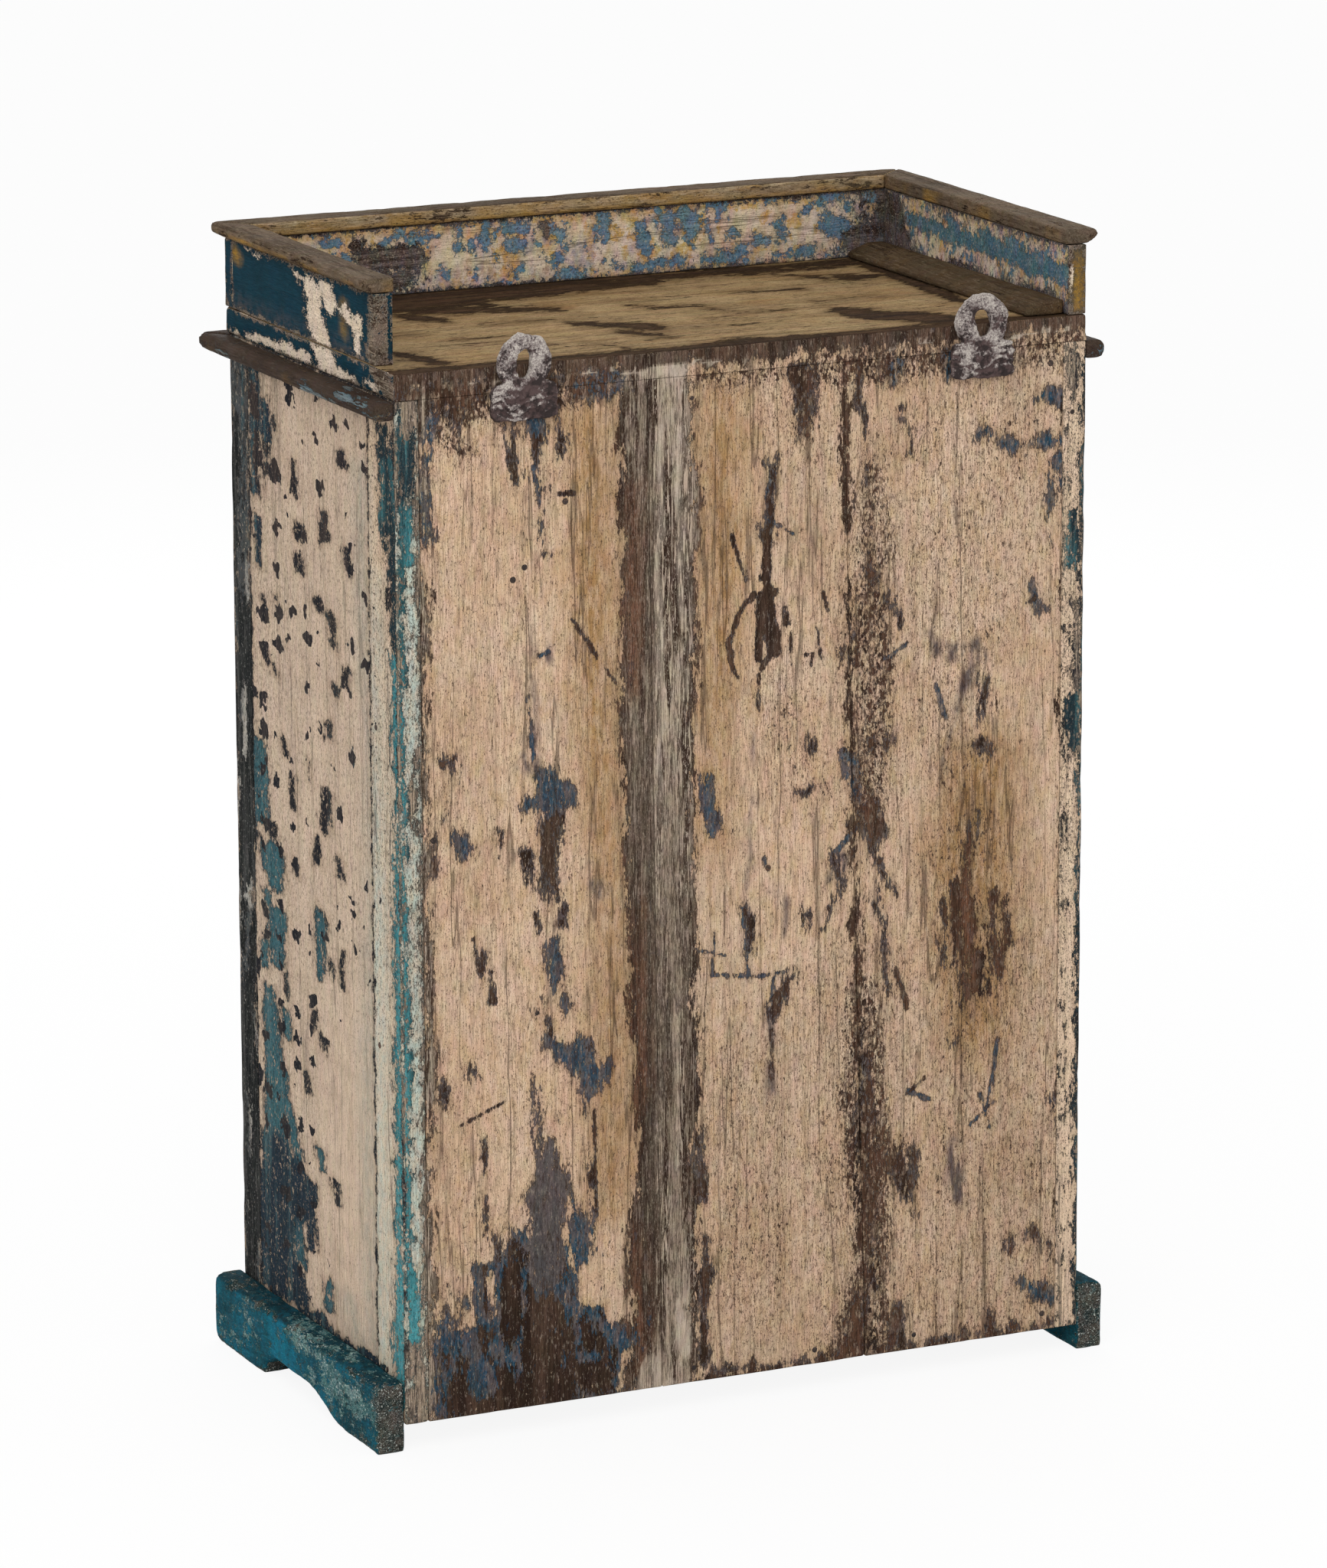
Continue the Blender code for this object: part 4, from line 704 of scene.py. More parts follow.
sideBuild = {"grid": 0.0026, "round": 0.0024, "rear": 0.17535}


def leftMarks(seed):
    # the left side isn't seen, so its chips are drawn at random in the manner of the right side
    rng = np.random.default_rng(seed)
    chip = []
    for _ in range(60):
        y, z, tall = rng.uniform(-112, 150), rng.uniform(40, 820), rng.uniform(4, 26)
        wide = 1.0 + 3.4 * rng.random() ** 2
        chip.append((y, z, y + rng.uniform(-4, 4), z - tall, wide, wide * 0.8))
    teal = []
    for y, z in zip(rng.uniform(-110, 60, 8), rng.uniform(80, 800, 8)):
        for _ in range(5):
            a, b = y + rng.normal(0, 7), z + rng.normal(0, 18)
            teal.append((a, b, a + rng.normal(0, 4), b - rng.uniform(6, 30),
                         rng.uniform(2, 6.5), rng.uniform(1.5, 5)))
    navy = [(-90, 210, -70, 110, 14, 24), (60, 120, 100, 60, 16, 20), (-20, 820, 30, 780, 10, 8)]
    ends = {"endTeal": [], "endBare": [(296, 640, 294, 560, 3, 4), (290, 835, 290, 800, 6, 2)],
            "endNavy": [(299, 830, 299, 30, 2.5, 3.5), (290, 700, 290, 660, 4, 6), (292, 545, 293, 515, 9, 6)]}
    return {**sideMarks, **ends, "chip": chip, "teal": teal, "navy": navy}


def sideWear(points, marks, outer, rear, gap):
    y, z = points[:, 1], points[:, 2]
    flat = np.column_stack([y, z * 0.45])
    u = y + (lumps(flat, 0.012, 6) - 0.5) * 0.008
    v = z + (lumps(flat, 0.015, 7) - 0.5) * 0.014
    m = {key: strokes(u, v, rows, 0.42) for key, rows in marks.items() if not key.startswith("end")}
    m["end"] = strokes(np.abs(points[:, 0]) + (v - z) * 0.3, v, marks["endTeal"])
    for key in ("endBare", "endNavy"):
        m[key] = strokes(np.abs(points[:, 0]), v, marks[key])
    atEnd = points[:, 1] > rear - 0.0012
    teal = np.where(atEnd, m["end"], np.maximum(m["teal"], m["rear"]))
    rub = 0.0065 * lumps(np.column_stack([y * 0.5, z * 0.5]), 0.016, 8) ** 2 - gap
    rub = np.where(np.abs(y - 0.1212) < 0.012, 0.0004 - gap, rub)
    onLeftJoint = (points[:, 0] < 0) & (points[:, 0] > -0.290) & (y > 0.16)
    rub = np.where(onLeftJoint, -0.003, rub)  # hardly shows
    chip = np.where(atEnd, m["endBare"], m["chip"])
    navy = np.where(atEnd, m["endNavy"], m["navy"])
    loss = np.maximum.reduce([chip, teal, navy, rub])
    bare = np.maximum(np.minimum(chip - 0.0010, -teal), rub - 0.0012)
    inside = (np.abs(points[:, 0] - outer) > 0.004) & ~atEnd
    loss, bare = np.where(inside, -0.010, loss), np.where(inside, -0.010, bare)
    soft = inMark(m["stain"], 0.010) * (0.55 + 0.45 * lumps(np.column_stack([y, z * 0.12]), 0.012, 14))
    pale = np.clip(lumps(points * (1, 1, 0.2), 0.05, 9) * 1.6 - 0.8, 0, 1)
    clean = np.clip((y + 0.01) / 0.06, 0, 1) * np.clip((0.40 - z) / 0.15, 0, 1)
    frontDots = (0.5 + 0.25 * np.clip((-y - 0.02) / 0.08, 0, 1)) * (1 - clean)
    wear = [level(loss), level(bare), np.where(inside, 0, frontDots), np.where(atEnd, 0.6, 0.0)]
    stain = np.where(inside, 0, np.where(atEnd, 1.0 if outer > 0 else 0.0, soft))
    shade = np.minimum(level(teal, 0.004), 1 - inMark(navy, 0.006))
    upper = np.where(inside | atEnd, 0, np.clip((z - 0.45) / 0.4, 0, 1) * 0.2)
    return wear, [stain, pale * 0.2, shade, upper]


print("painting the sides")
sideFinish = oldPaint("sidePaint", sideLook, marked=True)
rearFinish = oldPaint("sideRearPaint", rearLook, marked=True)
slack, nick, wall = [housing[key] for key in ("slack", "nick", "wall")]
for hand, sign, marks in (("right", 1, sideMarks), ("left", -1, leftMarks(11))):
    for part, node, finish in (("Side", hand + "_side_board", sideFinish),
                               ("SideRear", hand + "_side_rear_board", rearFinish)):
        low, high = boardBox(node)
        cracks, lines = cracksOn(sideCracks, low[1], high[1])
        sill = [z + d for a, b in shelves for z, d in
                ((a, -slack), (a, -wall - slack), (b, slack), (b, wall + slack))]
        stops = [housing["front"], housing["front"] - wall, housing["rear"], housing["rear"] + wall]
        points, faces = gridBoard(low, high, sideBuild["grid"], ((), lines + stops, sill))
        outer, inner = (high[0], low[0]) if sign > 0 else (low[0], high[0])
        onInner = np.abs(points[:, 0] - inner) < 1e-6
        for a, b in shelves:  # grooves that hold the shelves
            cut = onInner & (points[:, 2] > a - slack - nick) & (points[:, 2] < b + slack + nick)
            cut &= (points[:, 1] > housing["front"] - nick) & (points[:, 1] < housing["rear"] + nick)
            points[cut, 0] += sign * housing["depth"]
        gap = cornerGap(points, low, high)
        points = crackIn(points, cracks, 1, 0, outer)
        sunk = onInner & (np.abs(points[:, 0] - inner) > 1e-4)
        points = np.where(sunk[:, None], points, rubEdges(points, low, high, sideBuild["round"], 5 + sign))
        piece = makePiece(hand + part, points, faces, "carcass", [node], [finish])
        wear, tint = sideWear(points, marks, outer, sideBuild["rear"], gap)
        putMarks(piece, wear=wear, tint=tint)


# front posts: dark, flaking, with little of the pale coat left
postLook = {
    **sideLook, "shift": (5.0, 2.0, 1.0), "ragged": 4.2, "chipSize": 0.0, "dots": -0.02,
    "chalk": (0.30, 0.29, 0.27), "flecks": 0.8, "streaky": 0.7, "warm": (0.020, 0.021, 0.020),
    "coat": ((0.018, 0.020, 0.020), (0.007, 0.009, 0.009), (0.13, 0.128, 0.12)), "soil": (0.008, 0.010, 0.011),
    "under": ((0.075, 0.08, 0.08), (0.44, 0.41, 0.36), (0.045, 0.10, 0.115)), "stain": tone["rustStain"],
}
postBuild = {"grid": 0.003, "round": 0.0028}
postFinish = oldPaint("postPaint", postLook, marked=True)
for hand, sign in (("right", 1), ("left", -1)):
    node = hand + "_front_post"
    low, high = boardBox(node)
    points, faces = gridBoard(low, high, postBuild["grid"])
    gap = cornerGap(points, low, high)
    points = rubEdges(points, low, high, postBuild["round"], 8 + sign)
    piece = makePiece(hand + "Post", points, faces, "carcass", [node], [postFinish])
    worn = lumps(points * (1, 1, 0.3), 0.02, 12 + sign)
    blank = np.zeros(len(points))
    loss = level(0.0035 * worn * 2 - gap).clip(0.38, 1) + (worn - 0.5) * 2.4
    bare = level(0.0018 * worn * 2 - gap).clip(0.05, 1)
    ashy = np.clip((lumps(points * (1, 1, 0.2), 0.02, 14 + sign) - 0.5) * 14 + 0.3, 0, 1)
    putMarks(piece, wear=[loss, bare, blank + 0.3, blank + 0.6], tint=[blank, blank, ashy, blank])
print("sides and posts done")


galleryLook = {
    **backLook, "shift": (1.0, 7.0, 3.0), "grain": (1.0, 0.08, 1.0), "chip": (1.0, 0.6, 1.0), "ragged": 1.8,
    "flakeScale": 170.0, "dots": -0.05, "crack": 0.08, "rough": 0.55, "chalk": (0.014, 0.055, 0.075),
    "patchy": 0.0, "soil": (0.006, 0.02, 0.03), "grime": 0.4, "flecks": 0.0, "leftover": 0.15, "loose": 0.0,
    "veil": 0.0, "warm": (0.005, 0.036, 0.055),
    "coat": (tone["petrol"], (0.005, 0.032, 0.048), (0.009, 0.048, 0.068)),
    "under": ((0.78, 0.64, 0.50), (0.74, 0.60, 0.46), (0.69, 0.54, 0.40)), "stain": tone["ochre"],
}
innerLook = {
    **backLook, "shift": (2.0, 3.0, 9.0), "grain": (0.08, 1.0, 1.0), "chip": (0.8, 1.0, 0.8), "ragged": 2.4,
    "flakeScale": 190.0, "speckScale": 420.0, "dots": 0.02, "crack": 0.4, "grime": 0.35, "patchy": 0.35,
    "chalk": (0.60, 0.46, 0.35), "soil": (0.30, 0.18, 0.075), "patchScale": 92.0, "scatter": 0.592, "gold": 0.9,
    "hue": 0.28, "loose": 0.5, "warm": (0.46, 0.31, 0.17), "veil": 0.3, "leftover": 0.95, "flecks": 0.7,
    "coat": ((0.80, 0.66, 0.50), (0.74, 0.57, 0.40), (0.62, 0.49, 0.38)), "grey": (0.36, 0.31, 0.34),
    "under": ((0.12, 0.215, 0.30), (0.065, 0.155, 0.20), (0.25, 0.34, 0.40)), "stain": (0.60, 0.345, 0.075),
    "wood": (tone["darkWood"], (0.09, 0.062, 0.058), (0.22, 0.17, 0.15), tone["brownWood"]),
}


def patches(seed, reach, count):
    # lost patches of the unseen sides: loose heaps of short strokes
    rng = np.random.default_rng(seed)
    rows = []
    for _ in range(count):
        u, z, wide = rng.uniform(*reach), rng.uniform(868, 914), rng.uniform(2.0, 5.0)
        for _ in range(6):
            a, b = u + rng.normal(0, wide * 2.2), z + rng.normal(0, wide * 1.6)
            rows.append((a, b, a + rng.normal(0, wide), b - rng.uniform(0, wide * 2),
                         wide * rng.uniform(0.4, 1), wide * rng.uniform(0.3, 0.9)))
    return rows


galleryMarks = {
    "galleryRightOut": {
        "lost": [
            (15, 907, 21, 883, 7, 7), (43, 909, 53, 897, 6.4, 5.8), (21, 883, 38, 861, 7.7, 8.3),
            (80, 898, 101, 888, 5.1, 4.5), (107, 895, 104, 872, 3.5, 3.2), (-20, 912, 2, 908, 1.5, 3),
            (-120, 916, -90, 915, 1.5, 1),
        ],
        "ochre": [(-160, 917, -140, 906, 5, 4), (79, 904, 78, 879, 1.6, 1.3)],
        "bare": [
            (-158, 896, -156, 866, 1.6, 1.6), (134, 915, 134, 864, 2.6, 3.6), (128, 880, 133, 862, 2.6, 3.2),
        ],
    },
    "topRight": {
        "lost": [
            (-119, 846, -54, 848, 2.8, 4.4), (-54, 848, 2, 848, 4, 5.4), (30, 864, 46, 848, 9, 8.3),
            (46, 847, 96, 846, 6, 3), (-150, 845, -140, 845, 2, 2), (120, 850, 140, 846, 2, 3),
        ],
        "bare": [(140, 860, 172, 846, 6, 9)],
    },
    "topLeft": {
        "lost": [(-80, 846, -20, 847, 3, 5), (40, 850, 90, 846, 6, 4)], "bare": [(130, 858, 170, 846, 6, 8)],
    },
    "topFront": {
        "lost": [
            (-290, 846, -200, 845, 3, 2), (-120, 847, -60, 845, 4, 3), (20, 850, 60, 846, 5, 6),
            (150, 845, 260, 846, 2, 4),
        ],
        "bare": [(-298, 856, -296, 844, 3, 4), (296, 856, 298, 844, 3, 4)],
    },
    "galleryRightIn": {
        "lost": [(-120, 905, -60, 890, 8, 6), (0, 880, 40, 900, 7, 9), (90, 900, 110, 880, 6, 6)],
        "ochre": [(-100, 915, 60, 915, 2, 2)], "bare": [(20, 868, 120, 866, 4, 3)],
    },
    "galleryFrontIn": {
        "shade": [(-262, 905, -275, 870, 14, 26), (250, 880, 150, 876, 6, 12)],
        "lost": [
            (143, 910, 123, 908, 2.9, 3.5), (103, 912, 102, 911, 3.5, 3.5), (103, 899, 102, 898, 3.5, 3.5),
            (79, 924, 78, 914, 4.1, 5.2), (79, 912, 78, 896, 4.7, 4.1), (59, 911, 45, 908, 5.8, 6.4),
            (58, 896, 46, 896, 4.7, 4.1), (21, 908, 11, 900, 5.2, 4.7), (-28, 914, -29, 899, 6.4, 5.8),
            (-61, 903, -64, 889, 6.4, 6.4), (220, 907, 208, 910, 3.5, 4.1), (166, 906, 156, 911, 4.7, 3.5),
            (114, 879, 112, 878, 2.9, 2.9), (12, 869, -4, 867, 4.7, 5.8), (-62, 901, -68, 886, 6.4, 5.2),
            (-84, 908, -87, 891, 7, 6.4), (-100, 913, -109, 898, 7.6, 7), (-125, 920, -138, 916, 7, 5.8),
            (-78, 926, -91, 923, 2.9, 2.9), (-122, 900, -125, 888, 2.9, 2.3), (-144, 892, -146, 889, 3.5, 2.9),
            (-167, 885, -176, 882, 4.1, 3.5), (-189, 900, -189, 883, 3.5, 3.5),
            (-176, 916, -186, 918, 3.5, 3.5), (-154, 878, -156, 874, 4.1, 3.5),
            (-208, 870, -218, 872, 4.7, 4.1), (-231, 894, -247, 887, 7.6, 9.9),
            (-228, 915, -241, 914, 4.1, 4.1), (-270, 912, -283, 914, 4.7, 4.1), (-56, 870, -100, 871, 4.1, 4.1),
            (-119, 871, -154, 874, 3.5, 4.1),
        ],
        "ochre": [
            (250, 918, 229, 916, 2.9, 2.3), (126, 917, 116, 912, 3.5, 2.9), (92, 908, 87, 906, 4.1, 3.5),
            (55, 886, 53, 883, 4.7, 4.1), (24, 892, 14, 902, 4.1, 4.1), (2, 914, -8, 915, 3.5, 3.5),
            (-48, 913, -58, 907, 4.7, 4.1), (42, 920, -26, 919, 1.7, 1.5), (-53, 916, -68, 921, 2.9, 2.3),
            (-270, 906, -279, 908, 6.4, 5.2), (-151, 926, -170, 922, 4.1, 3.5),
            (-215, 920, -253, 921, 1.7, 1.7), (270, 916, 60, 916, 2.4, 2.8), (60, 916, -260, 916, 2.8, 2),
            (200, 905, 196, 895, 3, 2), (136, 905, 132, 890, 3.5, 3), (-16, 905, -12, 890, 4, 3),
            (150, 865, -200, 865, 1.6, 1.2),
        ],
        "bare": [
            (184, 893, 141, 893, 8.7, 10.5), (166, 877, 148, 875, 5.8, 7.6), (193, 905, 184, 899, 7, 6.4),
            # the strokes at x below -250 on this and the next line darken the far left corner as bare wood: partly
            # dark wood, partly painted shade
            (27, 910, 21, 901, 2.9, 2.3), (-254, 878, -286, 882, 10.5, 14.5), (-270, 868, -296, 896, 5.8, 4.7),
            (-295, 925, -296, 872, 1.7, 2.9), (-285, 915, -290, 870, 7, 20),
        ],
    },
    "galleryFrontOut": {
        "lost": patches(17, (-280, 280), 9), "ochre": [(-40, 905, -36, 885, 3, 3), (130, 916, 60, 916, 1.5, 1)],
        "bare": [(-295, 890, -292, 866, 4, 4), (290, 900, 294, 866, 4, 5)],
    },
    "galleryLeftIn": {
        "lost": [
            (-100, 900, 165, 895, 6, 8), (-95, 903, -60, 900, 4, 6), (-30, 908, -8, 900, 5, 7),
            (30, 905, 60, 898, 6, 7), (80, 906, 110, 893, 7, 8), (135, 900, 160, 890, 6, 7),
        ],
        "ochre": [(-95, 913, -91, 909, 4, 4), (-100, 916, 170, 915, 2.2, 2.6), (171, 915, 172, 876, 2.6, 2.4)],
        "bare": [
            (-110, 868, 168, 868, 6, 4), (-20, 876, 20, 874, 4, 3), (100, 876, 140, 876, 3, 4),
            # the stroke on the next line darkens the corner by the front board as bare wood: partly dark wood,
            # partly painted shade
            (-137, 910, -134, 868, 9, 18),
        ],
        "teal": [(-95, 905, 165, 895, 12, 12)],
        "shade": [(-140, 905, -140, 870, 14, 30), (0, 868, 160, 868, 10, 10), (-100, 916, 160, 915, 4, 4)],
    },
    "galleryLeftOut": {
        "lost": patches(18, (-140, 150), 5), "ochre": [(160, 915, 172, 870, 6, 5)],
        "bare": [(-146, 900, -140, 866, 4, 4)],
    },
}


def galleryWear(points, across, sets, gap, violet=0.0):
    u, z = points[:, across], points[:, 2]
    flat = np.column_stack([u, z])
    uu = u + (lumps(flat, 0.010, 21) - 0.5) * 0.007
    zz = z + (lumps(flat, 0.010, 22) - 0.5) * 0.007
    m = {key: strokes(uu, zz, rows, 0.42 if across == 1 else 1.0) for key, rows in sets.items()}
    none = np.full(len(u), -0.05)
    rub = 0.006 * lumps(points, 0.012, 23) ** 2 - gap
    loss = np.maximum.reduce([m.get("lost", none), m.get("bare", none), rub])
    foot = 0.863  # upper face of the top board
    # greyer and more specked along the foot of each board, just above the top board
    base = np.clip(1.0 - (z - foot) / 0.02, 0, 1) * (z > foot)
    # painted shade: the shade marks grey and speckle the inner corners and the foot of the lining
    corner = inMark(m.get("shade", none), 0.02)
    bare = np.maximum(m.get("bare", none) - 0.0008, rub - 0.001)
    smudge_and_shade = np.clip((lumps(flat, 0.016, 25) - 0.56) * 8, 0, violet)
    # violet patches, the band along the foot, and painted shade in the corners, all as grey smudge
    smudge_and_shade = np.maximum.reduce([base * lumps(flat, 0.02, 24), corner * 0.9, smudge_and_shade])
    blank = np.zeros(len(u))
    wear = [level(loss), level(bare), base * 0.4 + corner * 0.8, blank + 0.3]
    tint = [level(m.get("ochre", none), 0.004), smudge_and_shade, level(m.get("teal", none), 0.004), blank]
    return wear, tint


galleryBuild = {"grid": 0.0024, "round": 0.0024}
print("painting the gallery")
galleryOut = oldPaint("galleryPaint", galleryLook, marked=True)
galleryIn = oldPaint("galleryLining", innerLook, marked=True)
for name, node, axis, sign in (("galleryFront", "gallery_front_board", 1, 1),
                               ("galleryLeft", "gallery_left_board", 0, 1),
                               ("galleryRight", "gallery_right_board", 0, -1)):
    low, high = boardBox(node)
    points, faces = gridBoard(low, high, galleryBuild["grid"])
    aim = faceAim(points, faces)
    inner = aim[:, axis] * sign > 0.6
    gap = cornerGap(points, low, high)
    points = rubEdges(points, low, high, galleryBuild["round"], len(name) + 3)
    piece = makePiece(name, points, faces, "carcass", [node], [galleryOut, galleryIn], inner)
    lining = high[axis] if sign > 0 else low[axis]
    onLining = np.abs(points[:, axis] - lining) < 0.004
    inWear, inTint = galleryWear(points, 1 - axis, galleryMarks[name + "In"], gap, 0.8)
    outWear, outTint = galleryWear(points, 1 - axis, galleryMarks[name + "Out"], gap)
    putMarks(piece, wear=choose(onLining, inWear, outWear), tint=choose(onLining, inTint, outTint))


topLook = {
    **backLook, "shift": (4.0, 4.0, 4.0), "grain": (0.06, 1.0, 1.0), "chip": (0.26, 1.0, 1.0), "ragged": 3.6,
    "loose": 0.0, "warm": (0.32, 0.205, 0.095), "crumb": (0.3, 1.0, 1.0), "flakeScale": 70.0,
    "speckScale": 260.0, "dots": 0.0, "crack": 0.5, "rough": 0.72, "grime": 0.55, "chalk": (0.46, 0.34, 0.195),
    "soil": (0.135, 0.080, 0.035), "flecks": 0.15, "dust": (0.30, 0.21, 0.12), "patchy": 0.3,
    "coat": ((0.39, 0.265, 0.13), (0.43, 0.30, 0.155), (0.21, 0.125, 0.055)),
    "under": (tone["sootAndShade"], (0.07, 0.040, 0.018), (0.05, 0.031, 0.015)), "stain": tone["rustStain"],
    "wood": (tone["darkWood"], (0.06, 0.036, 0.022), (0.16, 0.115, 0.07), (0.09, 0.05, 0.028)),
}
topMarks = {
    # dark strokes, x and y in mm; the long strokes at y -105 to -138 lie along the front gallery board: partly
    # dark wood, partly painted shade
    "dark": [
        (165, -123, -51, -107, 14.2, 8.3), (189, -54, 171, -27, 11.8, 8.3), (83, 34, 36, 75, 8.3, 13),
        (262, 100, 250, 139, 9.5, 13), (279, 206, 241, 225, 23.6, 21.3), (187, 220, 101, 213, 15.4, 8.3),
        (107, 117, 92, 150, 2.4, 3.5), (10, -22, -46, 15, 4.7, 5.9), (64, 92, 43, 111, 9.5, 7.1),
        (45, 179, -19, 184, 10.6, 20.1), (-135, 86, -185, 146, 17.7, 21.3), (11, 220, -142, 229, 17.7, 11.8),
        (-250, -116, -240, 65, 14.2, 11.8), (-204, -63, -252, -58, 8.3, 8.3), (284, -135, -60, -138, 20, 13),
        (-60, -138, -250, -125, 10, 12), (240, -70, 120, -80, 6, 4), (262, 10, 210, 20, 6, 3),
        (200, 60, 140, 66, 3, 2), (0, 95, -70, 100, 3, 2), (150, 0, 90, 5, 3, 2), (-90, -40, -150, -30, 3, 4),
        (-20, 60, -100, 50, 2.5, 2), (-130, 30, -190, 20, 4, 5), (-160, -103, -189, -71, 5.9, 4.7),
        (280, -120, 110, -105, 24, 20), (175, -75, 70, -30, 12, 9), (110, -110, -60, -125, 18, 10),
        (-60, -128, -200, -118, 9, 8),
    ],
}
topBuild = {"grid": 0.003, "round": 0.003, "sharp": 0.006, "lip": 0.850}
print("top board")
topFinish = oldPaint("topWood", topLook, marked=True)
low, high = boardBox("top_board")
points, faces = gridBoard(low, high, topBuild["grid"])
aim = faceAim(points, faces)
gap = cornerGap(points, low, high)
sharp = (points[:, 1] > high[1] - topBuild["sharp"]) & (points[:, 2] < low[2] + topBuild["sharp"])
points = rubEdges(points, low, high, topBuild["round"], 31, sharp)
lying, rearward = np.abs(aim[:, 2]) > 0.6, aim[:, 1] > 0.6
piece = makePiece("topBoard", points, faces, "carcass", ["top_board"],
                  [topFinish, backFinish, galleryOut], np.where(lying, 0, np.where(rearward, 1, 2)))
x, y = points[:, 0], points[:, 1]
wavy = y + (lumps(np.column_stack([x * 0.2, y]), 0.012, 33) - 0.5) * 0.014
dark = strokes(wavy, x, [(b, a, d, c, w, e) for a, b, c, d, w, e in topMarks["dark"]], 0.5)
dark = np.maximum(dark, 0.02 + 0.014 * (lumps(np.column_stack([x * 0.3, y]), 0.02, 34) - 0.5) - (high[1] - y))
blank = np.zeros(len(x))
# the dark strokes show the dark undercoat and dark wood with a soft soil-coloured rim; along the front gallery
# board they are partly painted shade
wear = [level(dark - 0.004), level(dark - 0.010), blank + 0.2, blank + 0.3]
tint = [np.clip((lumps(points, 0.05, 35) - 0.6) * 3, 0, 0.6), blank, lumps(points, 0.02, 36).clip(0, 1),
        level(dark + 0.003, 0.014)]
onEdge = y > high[1] - 0.0015
lip = topBuild["lip"] + (lumps(np.column_stack([x, x * 0]), 0.03, 37) - 0.5) * 0.012
lip = lip + (lumps(points, 0.008, 38) - 0.5) * 0.008
edgeWear, edgeTint = backWear(points, high[1], gap + 0.01)
above = points[:, 2] - lip
edgeWear[0] = np.maximum(edgeWear[0], level(above))
edgeWear[1] = np.maximum(edgeWear[1], level(above - 0.001))
# a pale ragged line along the top of the crust on the rear edge: partly pale crust, partly painted highlight
crust = (np.abs(x - 0.07) < 0.05) | (lumps(np.column_stack([x, x * 0]), 0.014, 39) > 0.62)
crust = (np.abs(above + 0.001) < 0.0028) & crust
edgeWear[3] = np.where(above > -0.002, np.where(crust, 0.95, 0.1), edgeWear[3])
wear, tint = choose(onEdge, edgeWear, wear), choose(onEdge, edgeTint, tint)
between = (points[:, 2] > low[2] + 0.0004) & (points[:, 2] < high[2] - 0.0004)
for hand, across, onEnd in (("Right", 1, x > high[0] - 0.004), ("Left", 1, x < low[0] + 0.004),
                            ("Front", 0, y < low[1] + 0.004)):
    onEnd = onEnd & between & ~onEdge
    endWear, endTint = galleryWear(points, across, galleryMarks["top" + hand], gap)
    wear, tint = choose(onEnd, endWear, wear), choose(onEnd, endTint, tint)
putMarks(piece, wear=wear, tint=tint)


def fineCopy(node, voxel, smooth, depth, seed):
    # closed, evenly meshed copy of a node with rubbed edges and small dents
    mesh = nodes[node].data.copy()
    bm = bmesh.new()
    bm.from_mesh(mesh)
    bmesh.ops.remove_doubles(bm, verts=bm.verts, dist=1e-6)
    bm.to_mesh(mesh)
    bm.free()
    rough = bpy.data.objects.new("rough", mesh)
    scene.collection.objects.link(rough)
    even = rough.modifiers.new("even", "REMESH")
    even.mode, even.voxel_size = "VOXEL", voxel
    made = bpy.data.meshes.new_from_object(rough.evaluated_get(bpy.context.evaluated_depsgraph_get()))
    points, faces = np.zeros((len(made.vertices), 3)), np.zeros((len(made.polygons), 4), int)
    edges = np.zeros((len(made.edges), 2), int)
    made.vertices.foreach_get("co", points.ravel())
    made.polygons.foreach_get("vertices", faces.ravel())
    made.edges.foreach_get("vertices", edges.ravel())
    bpy.data.objects.remove(rough)
    bpy.data.meshes.remove(made)
    share = np.bincount(edges.ravel(), minlength=len(points))[:, None]
    for _ in range(smooth):
        total = np.zeros_like(points)
        np.add.at(total, edges[:, 0], points[edges[:, 1]])
        np.add.at(total, edges[:, 1], points[edges[:, 0]])
        points = points * 0.5 + total / share * 0.5
    aim = np.zeros_like(points)
    flat = faceAim(points, faces)
    for corner in range(4):
        np.add.at(aim, faces[:, corner], flat)
    aim /= np.linalg.norm(aim, axis=1, keepdims=True)
    dent = lumps(points, 0.02, seed) ** 3 * 1.4 + lumps(points, 0.006, seed + 1) * 0.35 - 0.2
    points = points - aim * (dent * depth)[:, None]
    points[:, 2] = np.maximum(points[:, 2], 0.0)
    return points, faces, aim


capLook = {
    **topLook, "shift": (8.0, 2.0, 5.0), "flakeScale": 110.0, "ragged": 4.2, "dots": 0.0,
    "chalk": (0.26, 0.20, 0.145), "coat": ((0.105, 0.078, 0.054), (0.165, 0.122, 0.085), (0.048, 0.034, 0.023)),
    "grime": 0.4, "warm": (0.11, 0.074, 0.044),
    "under": ((0.05, 0.033, 0.022), (0.09, 0.065, 0.045), (0.16, 0.12, 0.085)), "stain": (0.42, 0.235, 0.05),
}
capAcross = {**capLook, "grain": (1.0, 0.06, 1.0), "chip": (1.0, 0.16, 1.0)}
goldLook = {
    **capLook, "shift": (6.0, 3.0, 5.0), "coat": ((0.36, 0.25, 0.125), (0.43, 0.34, 0.23), (0.20, 0.145, 0.09)),
    "chalk": (0.60, 0.49, 0.36), "warm": (0.36, 0.21, 0.055),
}
battenLook = {
    **capAcross, "shift": (2.0, 4.0, 7.0),
    "coat": ((0.078, 0.052, 0.029), (0.105, 0.075, 0.046), (0.045, 0.027, 0.013)), "warm": (0.085, 0.05, 0.022),
    "chalk": (0.20, 0.155, 0.11), "stain": (0.26, 0.15, 0.045),
}
